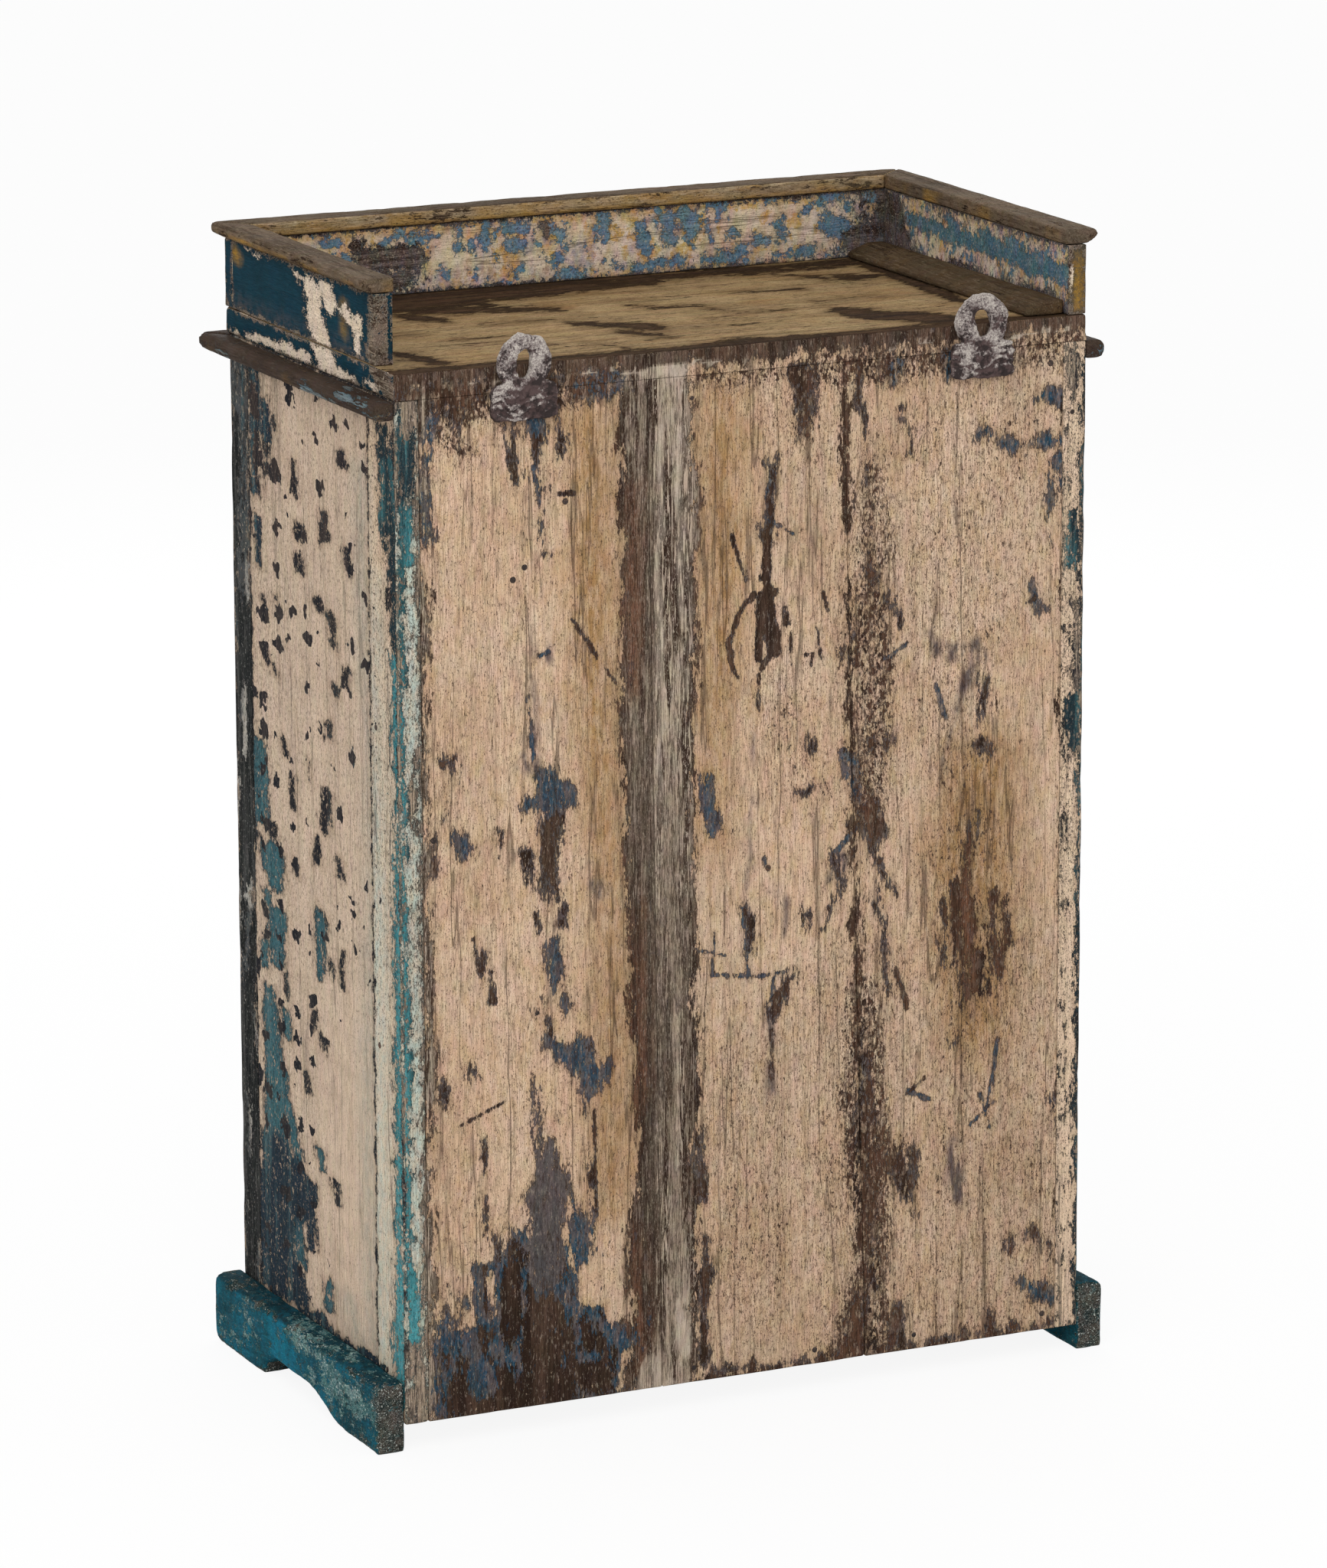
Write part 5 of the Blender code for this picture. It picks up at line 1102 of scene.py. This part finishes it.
nosingLook = {
    **capAcross, "shift": (2.0, 9.0, 5.0), "rough": 0.55, "dots": 0.02, "chalk": (0.10, 0.075, 0.06),
    "soil": (0.03, 0.02, 0.015), "coat": ((0.050, 0.034, 0.026), (0.075, 0.052, 0.04), (0.033, 0.024, 0.02)),
    "warm": (0.055, 0.036, 0.024), "under": ((0.10, 0.15, 0.17), (0.30, 0.38, 0.40), (0.16, 0.12, 0.09)),
}
nosingAlong = {**nosingLook, "grain": (0.06, 1.0, 1.0), "chip": (0.16, 1.0, 1.0)}
trimMarks = {
    "right_nosing": [
        (30, 829, 95, 827, 2.6, 3.0), (100, 838, 165, 834, 1.5, 2.5), (-150, 829, -120, 829, 1.2, 1.6),
    ],
    "left_nosing": [(20, 829, 70, 828, 2.0, 2.4), (130, 835, 172, 832, 2.0, 2.5)],
    "front_nosing": [(-200, 829, -150, 829, 2, 2), (40, 828, 90, 828, 2, 3), (230, 836, 280, 834, 2, 2)],
}
trimBuild = {"voxel": 0.0018, "smooth": 3, "depth": 0.0009}
print("caps, nosing and batten")
trimFinish = {key: oldPaint(name, look, marked=True) for key, name, look in (
    ("cap", "capWoodAcross", capAcross), ("capFront", "capWood", capLook), ("nosing", "nosingWood", nosingLook),
    ("nosingFront", "nosingWoodAlong", nosingAlong), ("batten", "battenWood", battenLook))}
goldFinish = oldPaint("capInside", goldLook, marked=True)
trim = {
    "capFront": ("cap_front", "capFront", 0), "capLeft": ("cap_left", "cap", 1),
    "capRight": ("cap_right", "cap", 1), "nosingFront": ("front_nosing", "nosingFront", 0),
    "nosingLeft": ("left_nosing", "nosing", 1), "nosingRight": ("right_nosing", "nosing", 1),
    "galleryBatten": ("gallery_left_batten", "batten", 1),
}
for number, (name, (node, finish, along)) in enumerate(trim.items()):
    points, faces, aim = fineCopy(node, **trimBuild, seed=40 + number)
    gilded = name == "capFront"  # its inward face is gold
    lined = faceAim(points, faces)[:, 1] > 0.55 if gilded else None
    finishes = [trimFinish[finish], goldFinish] if gilded else [trimFinish[finish]]
    piece = makePiece(name, points, faces, "carcass", [node], finishes, lined)
    wavy = points[:, along] + (lumps(points, 0.01, 51) - 0.5) * 0.008
    marks = strokes(wavy, points[:, 2], trimMarks.get(node, []))
    worn = lumps(points * ((0.25, 1, 1) if along == 0 else (1, 0.25, 1)), 0.016, 52 + number)
    blank = np.zeros(len(points))
    edgeOchre = np.clip((lumps(points, 0.03, 60 + number) - 0.5) * 4, 0, 1)
    edgeOchre = edgeOchre * np.clip(1 - (aim[:, 2] + 0.2) * 1.5, 0, 1)
    if gilded:
        edgeOchre = np.maximum(edgeOchre, level(0.0016 - np.abs(points[:, 2] - 0.9212), 0.002))
    spread = (worn - 0.5) * 0.9
    wear = [np.maximum(level(marks), 0.18 + spread), 0.25 + spread - inMark(marks), blank + 0.2, blank + 0.5]
    tint = [edgeOchre * (0.9 if "cap" in name else 0.25), blank, np.clip(level(marks) + worn - 0.6, 0, 1), blank]
    putMarks(piece, wear=wear, tint=tint)


footLook = {
    **galleryLook, "shift": (3.0, 5.0, 8.0), "dots": 0.01, "ragged": 5.0, "flakeScale": 95.0,
    "grain": (1.0, 0.2, 1.0), "patchy": 0.4, "crack": 0.3,
    "coat": ((0.010, 0.165, 0.245), (0.008, 0.052, 0.068), (0.024, 0.195, 0.265)), "flecks": 1.0,
    "leftover": 0.7, "warm": (0.012, 0.07, 0.095),
    "wood": ((0.006, 0.016, 0.016), (0.02, 0.035, 0.035), (0.16, 0.17, 0.15), tone["brownWood"]),
    "dust": (0.60, 0.64, 0.58), "under": ((0.105, 0.225, 0.225), (0.020, 0.085, 0.095), (0.30, 0.42, 0.40)),
    "stain": (0.01, 0.02, 0.02), "chalk": (0.035, 0.22, 0.28), "soil": (0.006, 0.040, 0.058),
}
footMarks = {
    "pale": [
        (79, 37, 187, 30, 17.2, 15.8), (1, 52, 80, 49, 9.2, 9.2), (-100, 57, -81, 22, 2.6, 2.6),
        (-131, 11, -111, 7, 3.3, 3.3),
    ],
    "bare": [(-129, 58, -55, 69, 4, 3.3), (184, 42, 217, 20, 6.6, 6.6), (31, 3, 62, 6, 3.3, 3.3)],
}
footBuild = {"voxel": 0.0022, "smooth": 3, "depth": 0.0013}
footEnds = {"front": -0.16365, "rear": 0.17535, "top": 0.0573}
print("feet")
footFinish = oldPaint("footPaint", footLook, marked=True)
for hand, sign in (("right", 1), ("left", -1)):
    points, faces, aim = fineCopy(hand + "_foot", **footBuild, seed=70 + sign)
    piece = makePiece(hand + "Foot", points, faces, "carcass", [hand + "_foot"], [footFinish])
    y, z = points[:, 1], points[:, 2]
    u = y + (lumps(points, 0.012, 73) - 0.5) * 0.01
    pale, bare = [strokes(u, z, footMarks[key], 0.42) for key in ("pale", "bare")]
    high = np.abs(points[:, 0]).max()
    rub = lumps(points, 0.02, 75 + sign)
    gaps = [np.abs(y - footEnds["front"]), np.abs(y - footEnds["rear"]), z, footEnds["top"] - z,
            high - np.abs(points[:, 0])]
    edge = 0.0025 * rub * 2 - np.sort(np.stack(gaps), axis=0)[1]
    upward = np.clip((aim[:, 2] - 0.5) * 4, 0, 1)
    sawn = np.clip((aim[:, 1] - 0.6) * 5, 0, 1)  # the rear end
    blank = np.zeros(len(y))
    thin = np.maximum(level(np.maximum(bare, edge).clip(-0.007)), level(pale - 0.003, 0.026))
    gone = np.maximum(level(np.maximum(bare, edge - 0.001) - 0.001), sawn * 0.9)
    putMarks(piece, wear=[np.maximum(thin, sawn), gone, blank + 0.25, np.maximum(0.3, sawn * 0.42)],
             tint=[upward, blank, np.clip(rub * 1.5 - 0.3, 0, 1), np.maximum(upward, sawn) * 0.7])


# hanging eyes: forged, with a crust of rust and old paint
eyeLook = {
    "ridge": 0.0011, "ridgePitch": 0.0068, "lump": 0.0034, "ringFoot": 0.848, "ringFade": 0.006,
    "iron": (0.030, 0.021, 0.020), "rust": (0.085, 0.055, 0.052), "crust": (0.50, 0.45, 0.40),
    "ash": (0.21, 0.175, 0.165),
}
eyeBuild = {"voxel": 0.0009, "smooth": 5, "depth": 0.0}


def crustFinish(name, look):
    f = Finish(name)
    raised, ring, _, _ = f.mark("wear")
    big, small = f.noise(f.place, 140, 4, 0.6), f.noise(f.place, 520, 4, 0.65)
    grain, fine = f.noise(f.place, 760, 3, 0.7), f.noise(f.place, 1500, 3)
    cover = raised * 0.9 + ring * 0.18 + (big - 0.5) * 0.6 + (small - 0.5) * 1.1 + (fine - 0.5) * 0.4
    colour = f.mix(big.fade(0.42, 0.58), look["iron"], look["rust"])
    colour = f.mix(cover.fade(0.46, 0.60), colour, look["ash"])
    colour = f.mix(cover.fade(0.58, 0.74) * (0.15 + grain.fade(0.42, 0.56) * 0.85), colour, look["crust"])
    bump = f.bump(small + fine * 0.4 + big * 0.8, 0.7, 0.0012)
    return f.done({"Base Color": colour, "Roughness": 0.6 + small * 0.35, "Normal": bump},
                  {"Specular IOR Level": 0.2})


print("hanging eyes")
eyeFinish = crustFinish("crustedIron", eyeLook)
for hand in ("left", "right"):
    node = hand + "_hanging_eye"
    low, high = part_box(node)
    points, faces, aim = fineCopy(node, **eyeBuild, seed=80)
    seed = 81 if hand == "left" else 84
    swell = (lumps(points, 0.007, seed) - 0.5) * eyeLook["lump"]
    swell = swell + (lumps(points, 0.003, seed + 1) - 0.5) * 0.0014
    ring = np.clip((points[:, 2] - eyeLook["ringFoot"]) / eyeLook["ringFade"], 0, 1)
    swell = swell + ring * (lumps(points, 0.012, seed + 4) - 0.5) * 0.0042
    plate = (1 - ring) * np.clip(aim[:, 1], 0, 1)
    wavy = points[:, 2] + lumps(points, 0.014, seed + 2) * 0.022
    wave = np.sin(2 * np.pi * wavy / eyeLook["ridgePitch"])
    wave = wave * np.clip(lumps(points, 0.011, seed + 3) * 2.4 - 0.5, 0, 1)
    raised = 0.40 + swell * 140 + plate * wave * 0.2 + ring * 0.06
    raised = raised + np.clip(aim[:, 2], 0, 1) * 0.18 - np.clip(-aim[:, 2], 0, 1) * 0.2
    raised = raised + plate * ((lumps(points, 0.013, seed + 5) - 0.5) * 1.5 + 0.12)
    points = points + aim * (swell + plate * wave * eyeLook["ridge"])[:, None]
    points[:, 1] = np.clip(points[:, 1], low.y + 0.0001, high.y + 0.0008)
    piece = makePiece(hand + "Eye", points, faces, "carcass", [node], [eyeFinish])
    putMarks(piece, wear=[raised, ring, ring * 0, ring * 0])


def ironFinish(name, dark, light, rust):
    f = Finish(name)
    big, small = f.noise(f.place, 70, 5, 0.6), f.noise(f.place, 600, 4, 0.7)
    colour = f.mix(big.fade(0.4, 0.62), dark, light)
    colour = f.mix((big * 0.5 + small * 0.5).fade(0.52, 0.6), colour, rust)
    return f.done({"Base Color": colour, "Roughness": 0.45 + small * 0.4,
                   "Metallic": 0.75 - small.fade(0.5, 0.6) * 0.6, "Normal": f.bump(small + big, 0.35, 0.0006)})


# nails and hinge screws, set by Geometry Nodes
def fastenerTree():
    tree = bpy.data.node_groups.new("fasteners", "GeometryNodeTree")
    tree.interface.new_socket("Places", in_out="INPUT", socket_type="NodeSocketGeometry")
    for label, kind in (("Head", "NodeSocketObject"), ("Size", "NodeSocketFloat"), ("Spread", "NodeSocketFloat"),
                        ("Seed", "NodeSocketInt"), ("Finish", "NodeSocketMaterial")):
        tree.interface.new_socket(label, in_out="INPUT", socket_type=kind)
    tree.interface.new_socket("Fasteners", in_out="OUTPUT", socket_type="NodeSocketGeometry")
    s = Sheet(tree)
    given = tree.nodes.new("NodeGroupInput")
    ask = lambda label: Wire(s, given.outputs[label])
    dots = s.add("GeometryNodeMeshToPoints", {}, {"Mesh": ask("Places")})
    aim = s.add("GeometryNodeInputNamedAttribute", {"data_type": "FLOAT_VECTOR"}, {"Name": "aim"})
    turned = s.add("FunctionNodeAlignRotationToVector", {"axis": "Z"}, {"Vector": aim})
    angle = s.add("FunctionNodeRandomValue", {"data_type": "FLOAT"},
                  {2: 0.0, 3: 2 * math.pi, "Seed": ask("Seed")}, 1)
    spin = s.add("FunctionNodeAxisAngleToRotation", {}, {"Axis": (0.0, 0.0, 1.0), "Angle": angle})
    turned = s.add("FunctionNodeRotateRotation", {"rotation_space": "LOCAL"}, {0: turned, 1: spin})
    least, most = ask("Size") - ask("Spread"), ask("Size") + ask("Spread")
    scale = s.add("FunctionNodeRandomValue", {"data_type": "FLOAT"}, {2: least, 3: most, "Seed": ask("Seed")}, 1)
    head = s.add("GeometryNodeObjectInfo", {}, {"Object": ask("Head")}, "Geometry")
    placed = s.add("GeometryNodeInstanceOnPoints", {},
                   {"Points": dots, "Instance": head, "Rotation": turned, "Scale": scale})
    solid = s.add("GeometryNodeRealizeInstances", {}, {0: placed})
    dressed = s.add("GeometryNodeSetMaterial", {}, {"Geometry": solid, "Material": ask("Finish")})
    s.add("NodeGroupOutput", {}, {0: dressed})
    return tree


def screwHead(radius, height, slotHalf, slotDeep):
    bm = bmesh.new()
    bmesh.ops.create_cone(bm, cap_ends=True, segments=16, radius1=radius, radius2=radius * 0.86, depth=height)
    for place, aim in (((0, slotHalf, 0), (0, 1, 0)), ((0, -slotHalf, 0), (0, 1, 0)),
                       ((radius * 0.7, 0, 0), (1, 0, 0)), ((-radius * 0.7, 0, 0), (1, 0, 0))):
        top = [f for f in bm.faces if f.normal.z > 0.9 and f.calc_center_median().z > 0]
        around = dict.fromkeys([e for f in top for e in f.edges] + [v for f in top for v in f.verts])
        bmesh.ops.bisect_plane(bm, geom=top + list(around), plane_co=place, plane_no=aim)
    slot = min((f for f in bm.faces if f.normal.z > 0.9), key=lambda f: f.calc_center_median().xy.length)
    sunk = bmesh.ops.extrude_face_region(bm, geom=[slot])["geom"]
    sunk = [v for v in sunk if isinstance(v, bmesh.types.BMVert)]
    bmesh.ops.translate(bm, verts=sunk, vec=(0, 0, -slotDeep))
    bmesh.ops.delete(bm, geom=[slot], context="FACES_ONLY")
    bmesh.ops.translate(bm, verts=bm.verts, vec=(0, 0, height / 2))
    return bm


def nailHead(radius, height):
    bm = bmesh.new()
    rng = np.random.default_rng(5)
    rings = []
    turns = np.linspace(0, 2 * math.pi, 11)[:-1]
    for r, z in ((1.0, -0.6), (1.0, 0.25), (0.85, 0.7), (0.45, 0.98)):
        rings.append([bm.verts.new((radius * r * (1 + rng.uniform(-0.07, 0.07)) * math.cos(a),
                                    radius * r * math.sin(a), height * z)) for a in turns])
    for lower, upper in zip(rings, rings[1:]):
        for n in range(10):
            bm.faces.new((lower[n], lower[(n + 1) % 10], upper[(n + 1) % 10], upper[n]))
    bm.faces.new(rings[0][::-1])
    bm.faces.new(rings[-1])
    return bm


def headObject(name, bm):
    bmesh.ops.recalc_face_normals(bm, faces=bm.faces)
    mesh = bpy.data.meshes.new(name)
    bm.to_mesh(mesh)
    bm.free()
    head = bpy.data.objects.new(name, mesh)
    scene.collection.objects.link(head)
    return head


def setFasteners(name, body, head, places, size, spread, seed, finish, tree):
    mesh = bpy.data.meshes.new(name)
    mesh.from_pydata([p for p, _ in places], [], [])
    layer = mesh.attributes.new("aim", "FLOAT_VECTOR", "POINT")
    layer.data.foreach_set("vector", np.array([a for _, a in places], np.float32).ravel())
    piece = bpy.data.objects.new(name, mesh)
    scene.collection.objects.link(piece)
    mod = piece.modifiers.new("set", "NODES")
    mod.node_group = tree
    ids = {i.name: i.identifier for i in tree.interface.items_tree if i.in_out == "INPUT"}
    for label, value in (("Head", head), ("Size", size), ("Spread", spread), ("Seed", seed), ("Finish", finish)):
        mod[ids[label]] = value
    made = bpy.data.meshes.new_from_object(piece.evaluated_get(bpy.context.evaluated_depsgraph_get()))
    piece.modifiers.remove(mod)
    piece.data = made
    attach(piece, body)


hingeIron = ironFinish("hingeIron", (0.030, 0.026, 0.024), (0.075, 0.068, 0.062), (0.13, 0.062, 0.030))
nailIron = ironFinish("nailIron", (0.030, 0.022, 0.020), (0.060, 0.045, 0.038), (0.11, 0.055, 0.032))
backNails = {
    "rear": 0.17535,
    "spots": [
        (202, 694), (192, 703), (157, 752), (271, 494), (264, 288), (184, 345), (-288, 785), (-55, 397),
        (-18, 440), (262, 818), (262, 40), (120, 38), (48, 34), (-60, 34), (-150, 34), (-268, 36), (48, 824),
        (-60, 826), (-268, 826),
    ],
}
sideNails = {"outer": 0.300, "spots": [(132, 322), (132, 578), (140, 58), (140, 815), (-100, 815), (-100, 58)]}
print("nails and screws")
tree = fastenerTree()
nail = headObject("nail", nailHead(radius=0.0023, height=0.0008))
screw = headObject("screw", screwHead(radius=0.0030, height=0.0009, slotHalf=0.0004, slotDeep=0.0005))
sunk = 0.0002  # how far the heads sit in the wood
rows = [((x / 1000, backNails["rear"] - sunk, z / 1000), (0, 1, 0)) for x, z in backNails["spots"]]
rows += [((sign * (sideNails["outer"] - sunk), y / 1000, z / 1000), (sign, 0, 0))
         for sign in (1, -1) for y, z in sideNails["spots"]]
setFasteners("nails", "carcass", nail, rows, size=1.0, spread=0.2, seed=3, finish=nailIron, tree=tree)

hingeScrews = {"rise": (0.010, 0.027, 0.044), "inset": 0.0075, "back": 0.0022}
for body, kind, hands in (("carcass", "fixed", ("left", "right")), ("left_door", "moving", ("left",)),
                          ("right_door", "moving", ("right",))):
    rows = []
    for hand in hands:
        for tier in ("upper", "lower"):
            low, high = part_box(f"{hand}_{tier}_hinge_{kind}_leaf")
            outside = (hand == "right") == (kind == "fixed")
            x = high.x - hingeScrews["inset"] if outside else low.x + hingeScrews["inset"]
            rows += [((x, high.y - hingeScrews["back"], low.z + r), (0, -1, 0)) for r in hingeScrews["rise"]]
    setFasteners(body + "HingeScrews", body, screw, rows, size=1.0, spread=0.03, seed=7,
                 finish=hingeIron, tree=tree)
for head in (nail, screw):
    bpy.data.objects.remove(head)


# the doors, rails and inside keep their own shapes
doorLook = {
    **galleryLook, "shift": (9.0, 9.0, 2.0), "grain": (1.0, 1.0, 0.07), "chip": (1.0, 1.0, 0.5), "rub": 0.0022,
    "worn": -0.47, "ochre": 0.0, "smudge_and_shade": 0.2, "dots": 0.0, "leftover": 0.5,
}
railLook = {**doorLook, "grain": (0.07, 1.0, 1.0), "chip": (0.5, 1.0, 1.0), "shift": (9.0, 3.0, 2.0)}
barLook = {
    **railLook, "coat": (tone["ochre"], (0.34, 0.17, 0.03), (0.42, 0.26, 0.07)),
    "under": (tone["petrol"], tone["teal"], tone["cream"]), "worn": -0.8,
}
shelfLook = {
    **backLook, "shift": (7.0, 7.0, 7.0), "grain": (0.07, 1.0, 1.0), "chip": (0.5, 1.0, 1.0), "rub": 0.002,
    "worn": -0.7, "ochre": 0.4, "smudge_and_shade": 0.3, "dots": -0.03,
}
floorLook = {**topLook, "shift": (5.0, 8.0, 1.0), "rub": 0.0015, "worn": -0.55, "ochre": 0.3, "smudge_and_shade": 0.3}
knobLook = {
    **capLook, "shift": (1.0, 1.0, 6.0), "grain": (1.0, 1.0, 0.3), "chip": (1.0, 1.0, 1.0), "rub": -0.01,
    "worn": -0.9, "ochre": 0.2, "smudge_and_shade": 0.0,
}
dressed = {}
for hand in ("left", "right"):
    dressed[hand + "_door_hinge_stile"] = dressed[hand + "_door_meeting_stile"] = doorLook
    dressed[hand + "_door_top_rail"] = dressed[hand + "_door_bottom_rail"] = railLook
    dressed[hand + "_door_glazing_bar"] = dressed[hand + "_door_glass_bead"] = barLook
    dressed[hand + "_door_knob"] = knobLook
dressed["front_top_rail"] = dressed["front_bottom_rail"] = railLook
dressed["lower_shelf"] = dressed["upper_shelf"] = shelfLook
dressed["bottom_board"], dressed["turn_button"] = floorLook, {**knobLook, "rub": 0.0008}


def coatNode(node, finish):
    nodes[node].data.materials.clear()
    nodes[node].data.materials.append(finish)


for number, (node, look) in enumerate(dressed.items()):
    moved = {**look, "shift": tuple(a + 0.37 * number for a in look["shift"])}
    coatNode(node, oldPaint(node + "Finish", moved, box=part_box(node)))
for node in nodes:
    if "hinge_" in node and node.split("_")[-1] in ("leaf", "pin") or node == "turn_button_screw":
        coatNode(node, hingeIron)


def paneFinish(name):
    f = Finish(name)
    wave = f.noise(f.vec("MULTIPLY", f.place, (1.0, 1.0, 0.6)), 14, 2, 0.4)
    dust = f.noise(f.place, 60, 5, 0.7)
    return f.done({"Roughness": 0.02 + dust.fade(0.5, 0.8) * 0.12, "Normal": f.bump(wave, 0.12, 0.004)},
                  {"Base Color": (0.90, 0.95, 0.93, 1.0), "Transmission Weight": 1.0, "IOR": 1.45})


glassFinish = paneFinish("oldPane")
for hand in ("left", "right"):
    coatNode(hand + "_door_glass", glassFinish)
print("doors and inside dressed")


# floor, light and camera
studio = {
    "floorSize": 30.0, "floorColour": 0.86, "floorWhite": 0.9, "sky": 0.85, "key": 46.0, "fill": 26.0,
    "lampSize": 2.2, "middle": (0, 0, 0.45),
}


def seenRays(sheet):  # 1 for what the camera sees, itself or in gloss and glass
    rays = [sheet.add("ShaderNodeLightPath", out=ray)
            for ray in ("Is Camera Ray", "Is Glossy Ray", "Is Transmission Ray")]
    return rays[0].most(rays[1]).most(rays[2])


def paleFloor(name):
    f = Finish(name)
    facing = seenRays(f)
    plain = f.add("ShaderNodeBsdfDiffuse", {}, {"Color": (studio["floorColour"],) * 3 + (1.0,)})
    white = f.add("ShaderNodeEmission", {}, {"Color": (1.0, 1.0, 1.0, 1.0), "Strength": 1.0})
    both = f.add("ShaderNodeMixShader", {}, {0: facing * studio["floorWhite"], 1: plain, 2: white})
    f.add("ShaderNodeOutputMaterial", {}, {"Surface": both})
    return f.mat


half = studio["floorSize"] / 2
mesh = bpy.data.meshes.new("floor")
corners = [(-half, -half, 0), (half, -half, 0), (half, half, 0), (-half, half, 0)]
mesh.from_pydata(corners, [], [(0, 1, 2, 3)])
mesh.materials.append(paleFloor("floorFinish"))
floor = bpy.data.objects.new("floor", mesh)
scene.collection.objects.link(floor)

world = bpy.data.worlds.new("studio")
world.use_nodes = True
scene.world = world
w = Sheet(world.node_tree)
strength = studio["sky"] + seenRays(w) * (1.0 - studio["sky"])
glow = w.add("ShaderNodeBackground", {}, {"Color": (1.0, 1.0, 1.0, 1.0), "Strength": strength})
w.add("ShaderNodeOutputWorld", {}, {"Surface": glow})

for name, place, power in (("keyLamp", (1.6, 2.4, 2.6), studio["key"]),
                           ("fillLamp", (-1.2, -2.6, 2.0), studio["fill"])):
    lamp = bpy.data.lights.new(name, "AREA")
    lamp.energy, lamp.size = power, studio["lampSize"]
    lampObject = bpy.data.objects.new(name, lamp)
    scene.collection.objects.link(lampObject)
    lampObject.location = place
    toMiddle = Vector(studio["middle"]) - Vector(place)
    lampObject.rotation_euler = toMiddle.to_track_quat("-Z", "Y").to_euler()

shot = {
    "place": (2.5683, 5.4314, 1.9180), "aim": (-0.41689, -0.87834, -0.23393), "roll": -0.003, "focal": 9949.97,
    "tall": 2048, "sensor": 36.0,
}
view = Vector(shot["aim"]).normalized()
across = view.cross((0, 0, 1)).normalized()
up = across.cross(view)
c, s = math.cos(shot["roll"]), math.sin(shot["roll"])
across, up = across * c + up * s, up * c - across * s
camera = bpy.data.cameras.new("camera")
camera.sensor_width = shot["sensor"]
camera.lens = shot["focal"] * shot["sensor"] / shot["tall"]
cameraObject = bpy.data.objects.new("camera", camera)
scene.collection.objects.link(cameraObject)
rows = [(*row, p) for row, p in zip(zip(across, up, -view), shot["place"])]
cameraObject.matrix_world = Matrix(rows + [(0, 0, 0, 1)])
scene.camera = cameraObject
scene.view_settings.view_transform = "Standard"
print("studio and camera set")
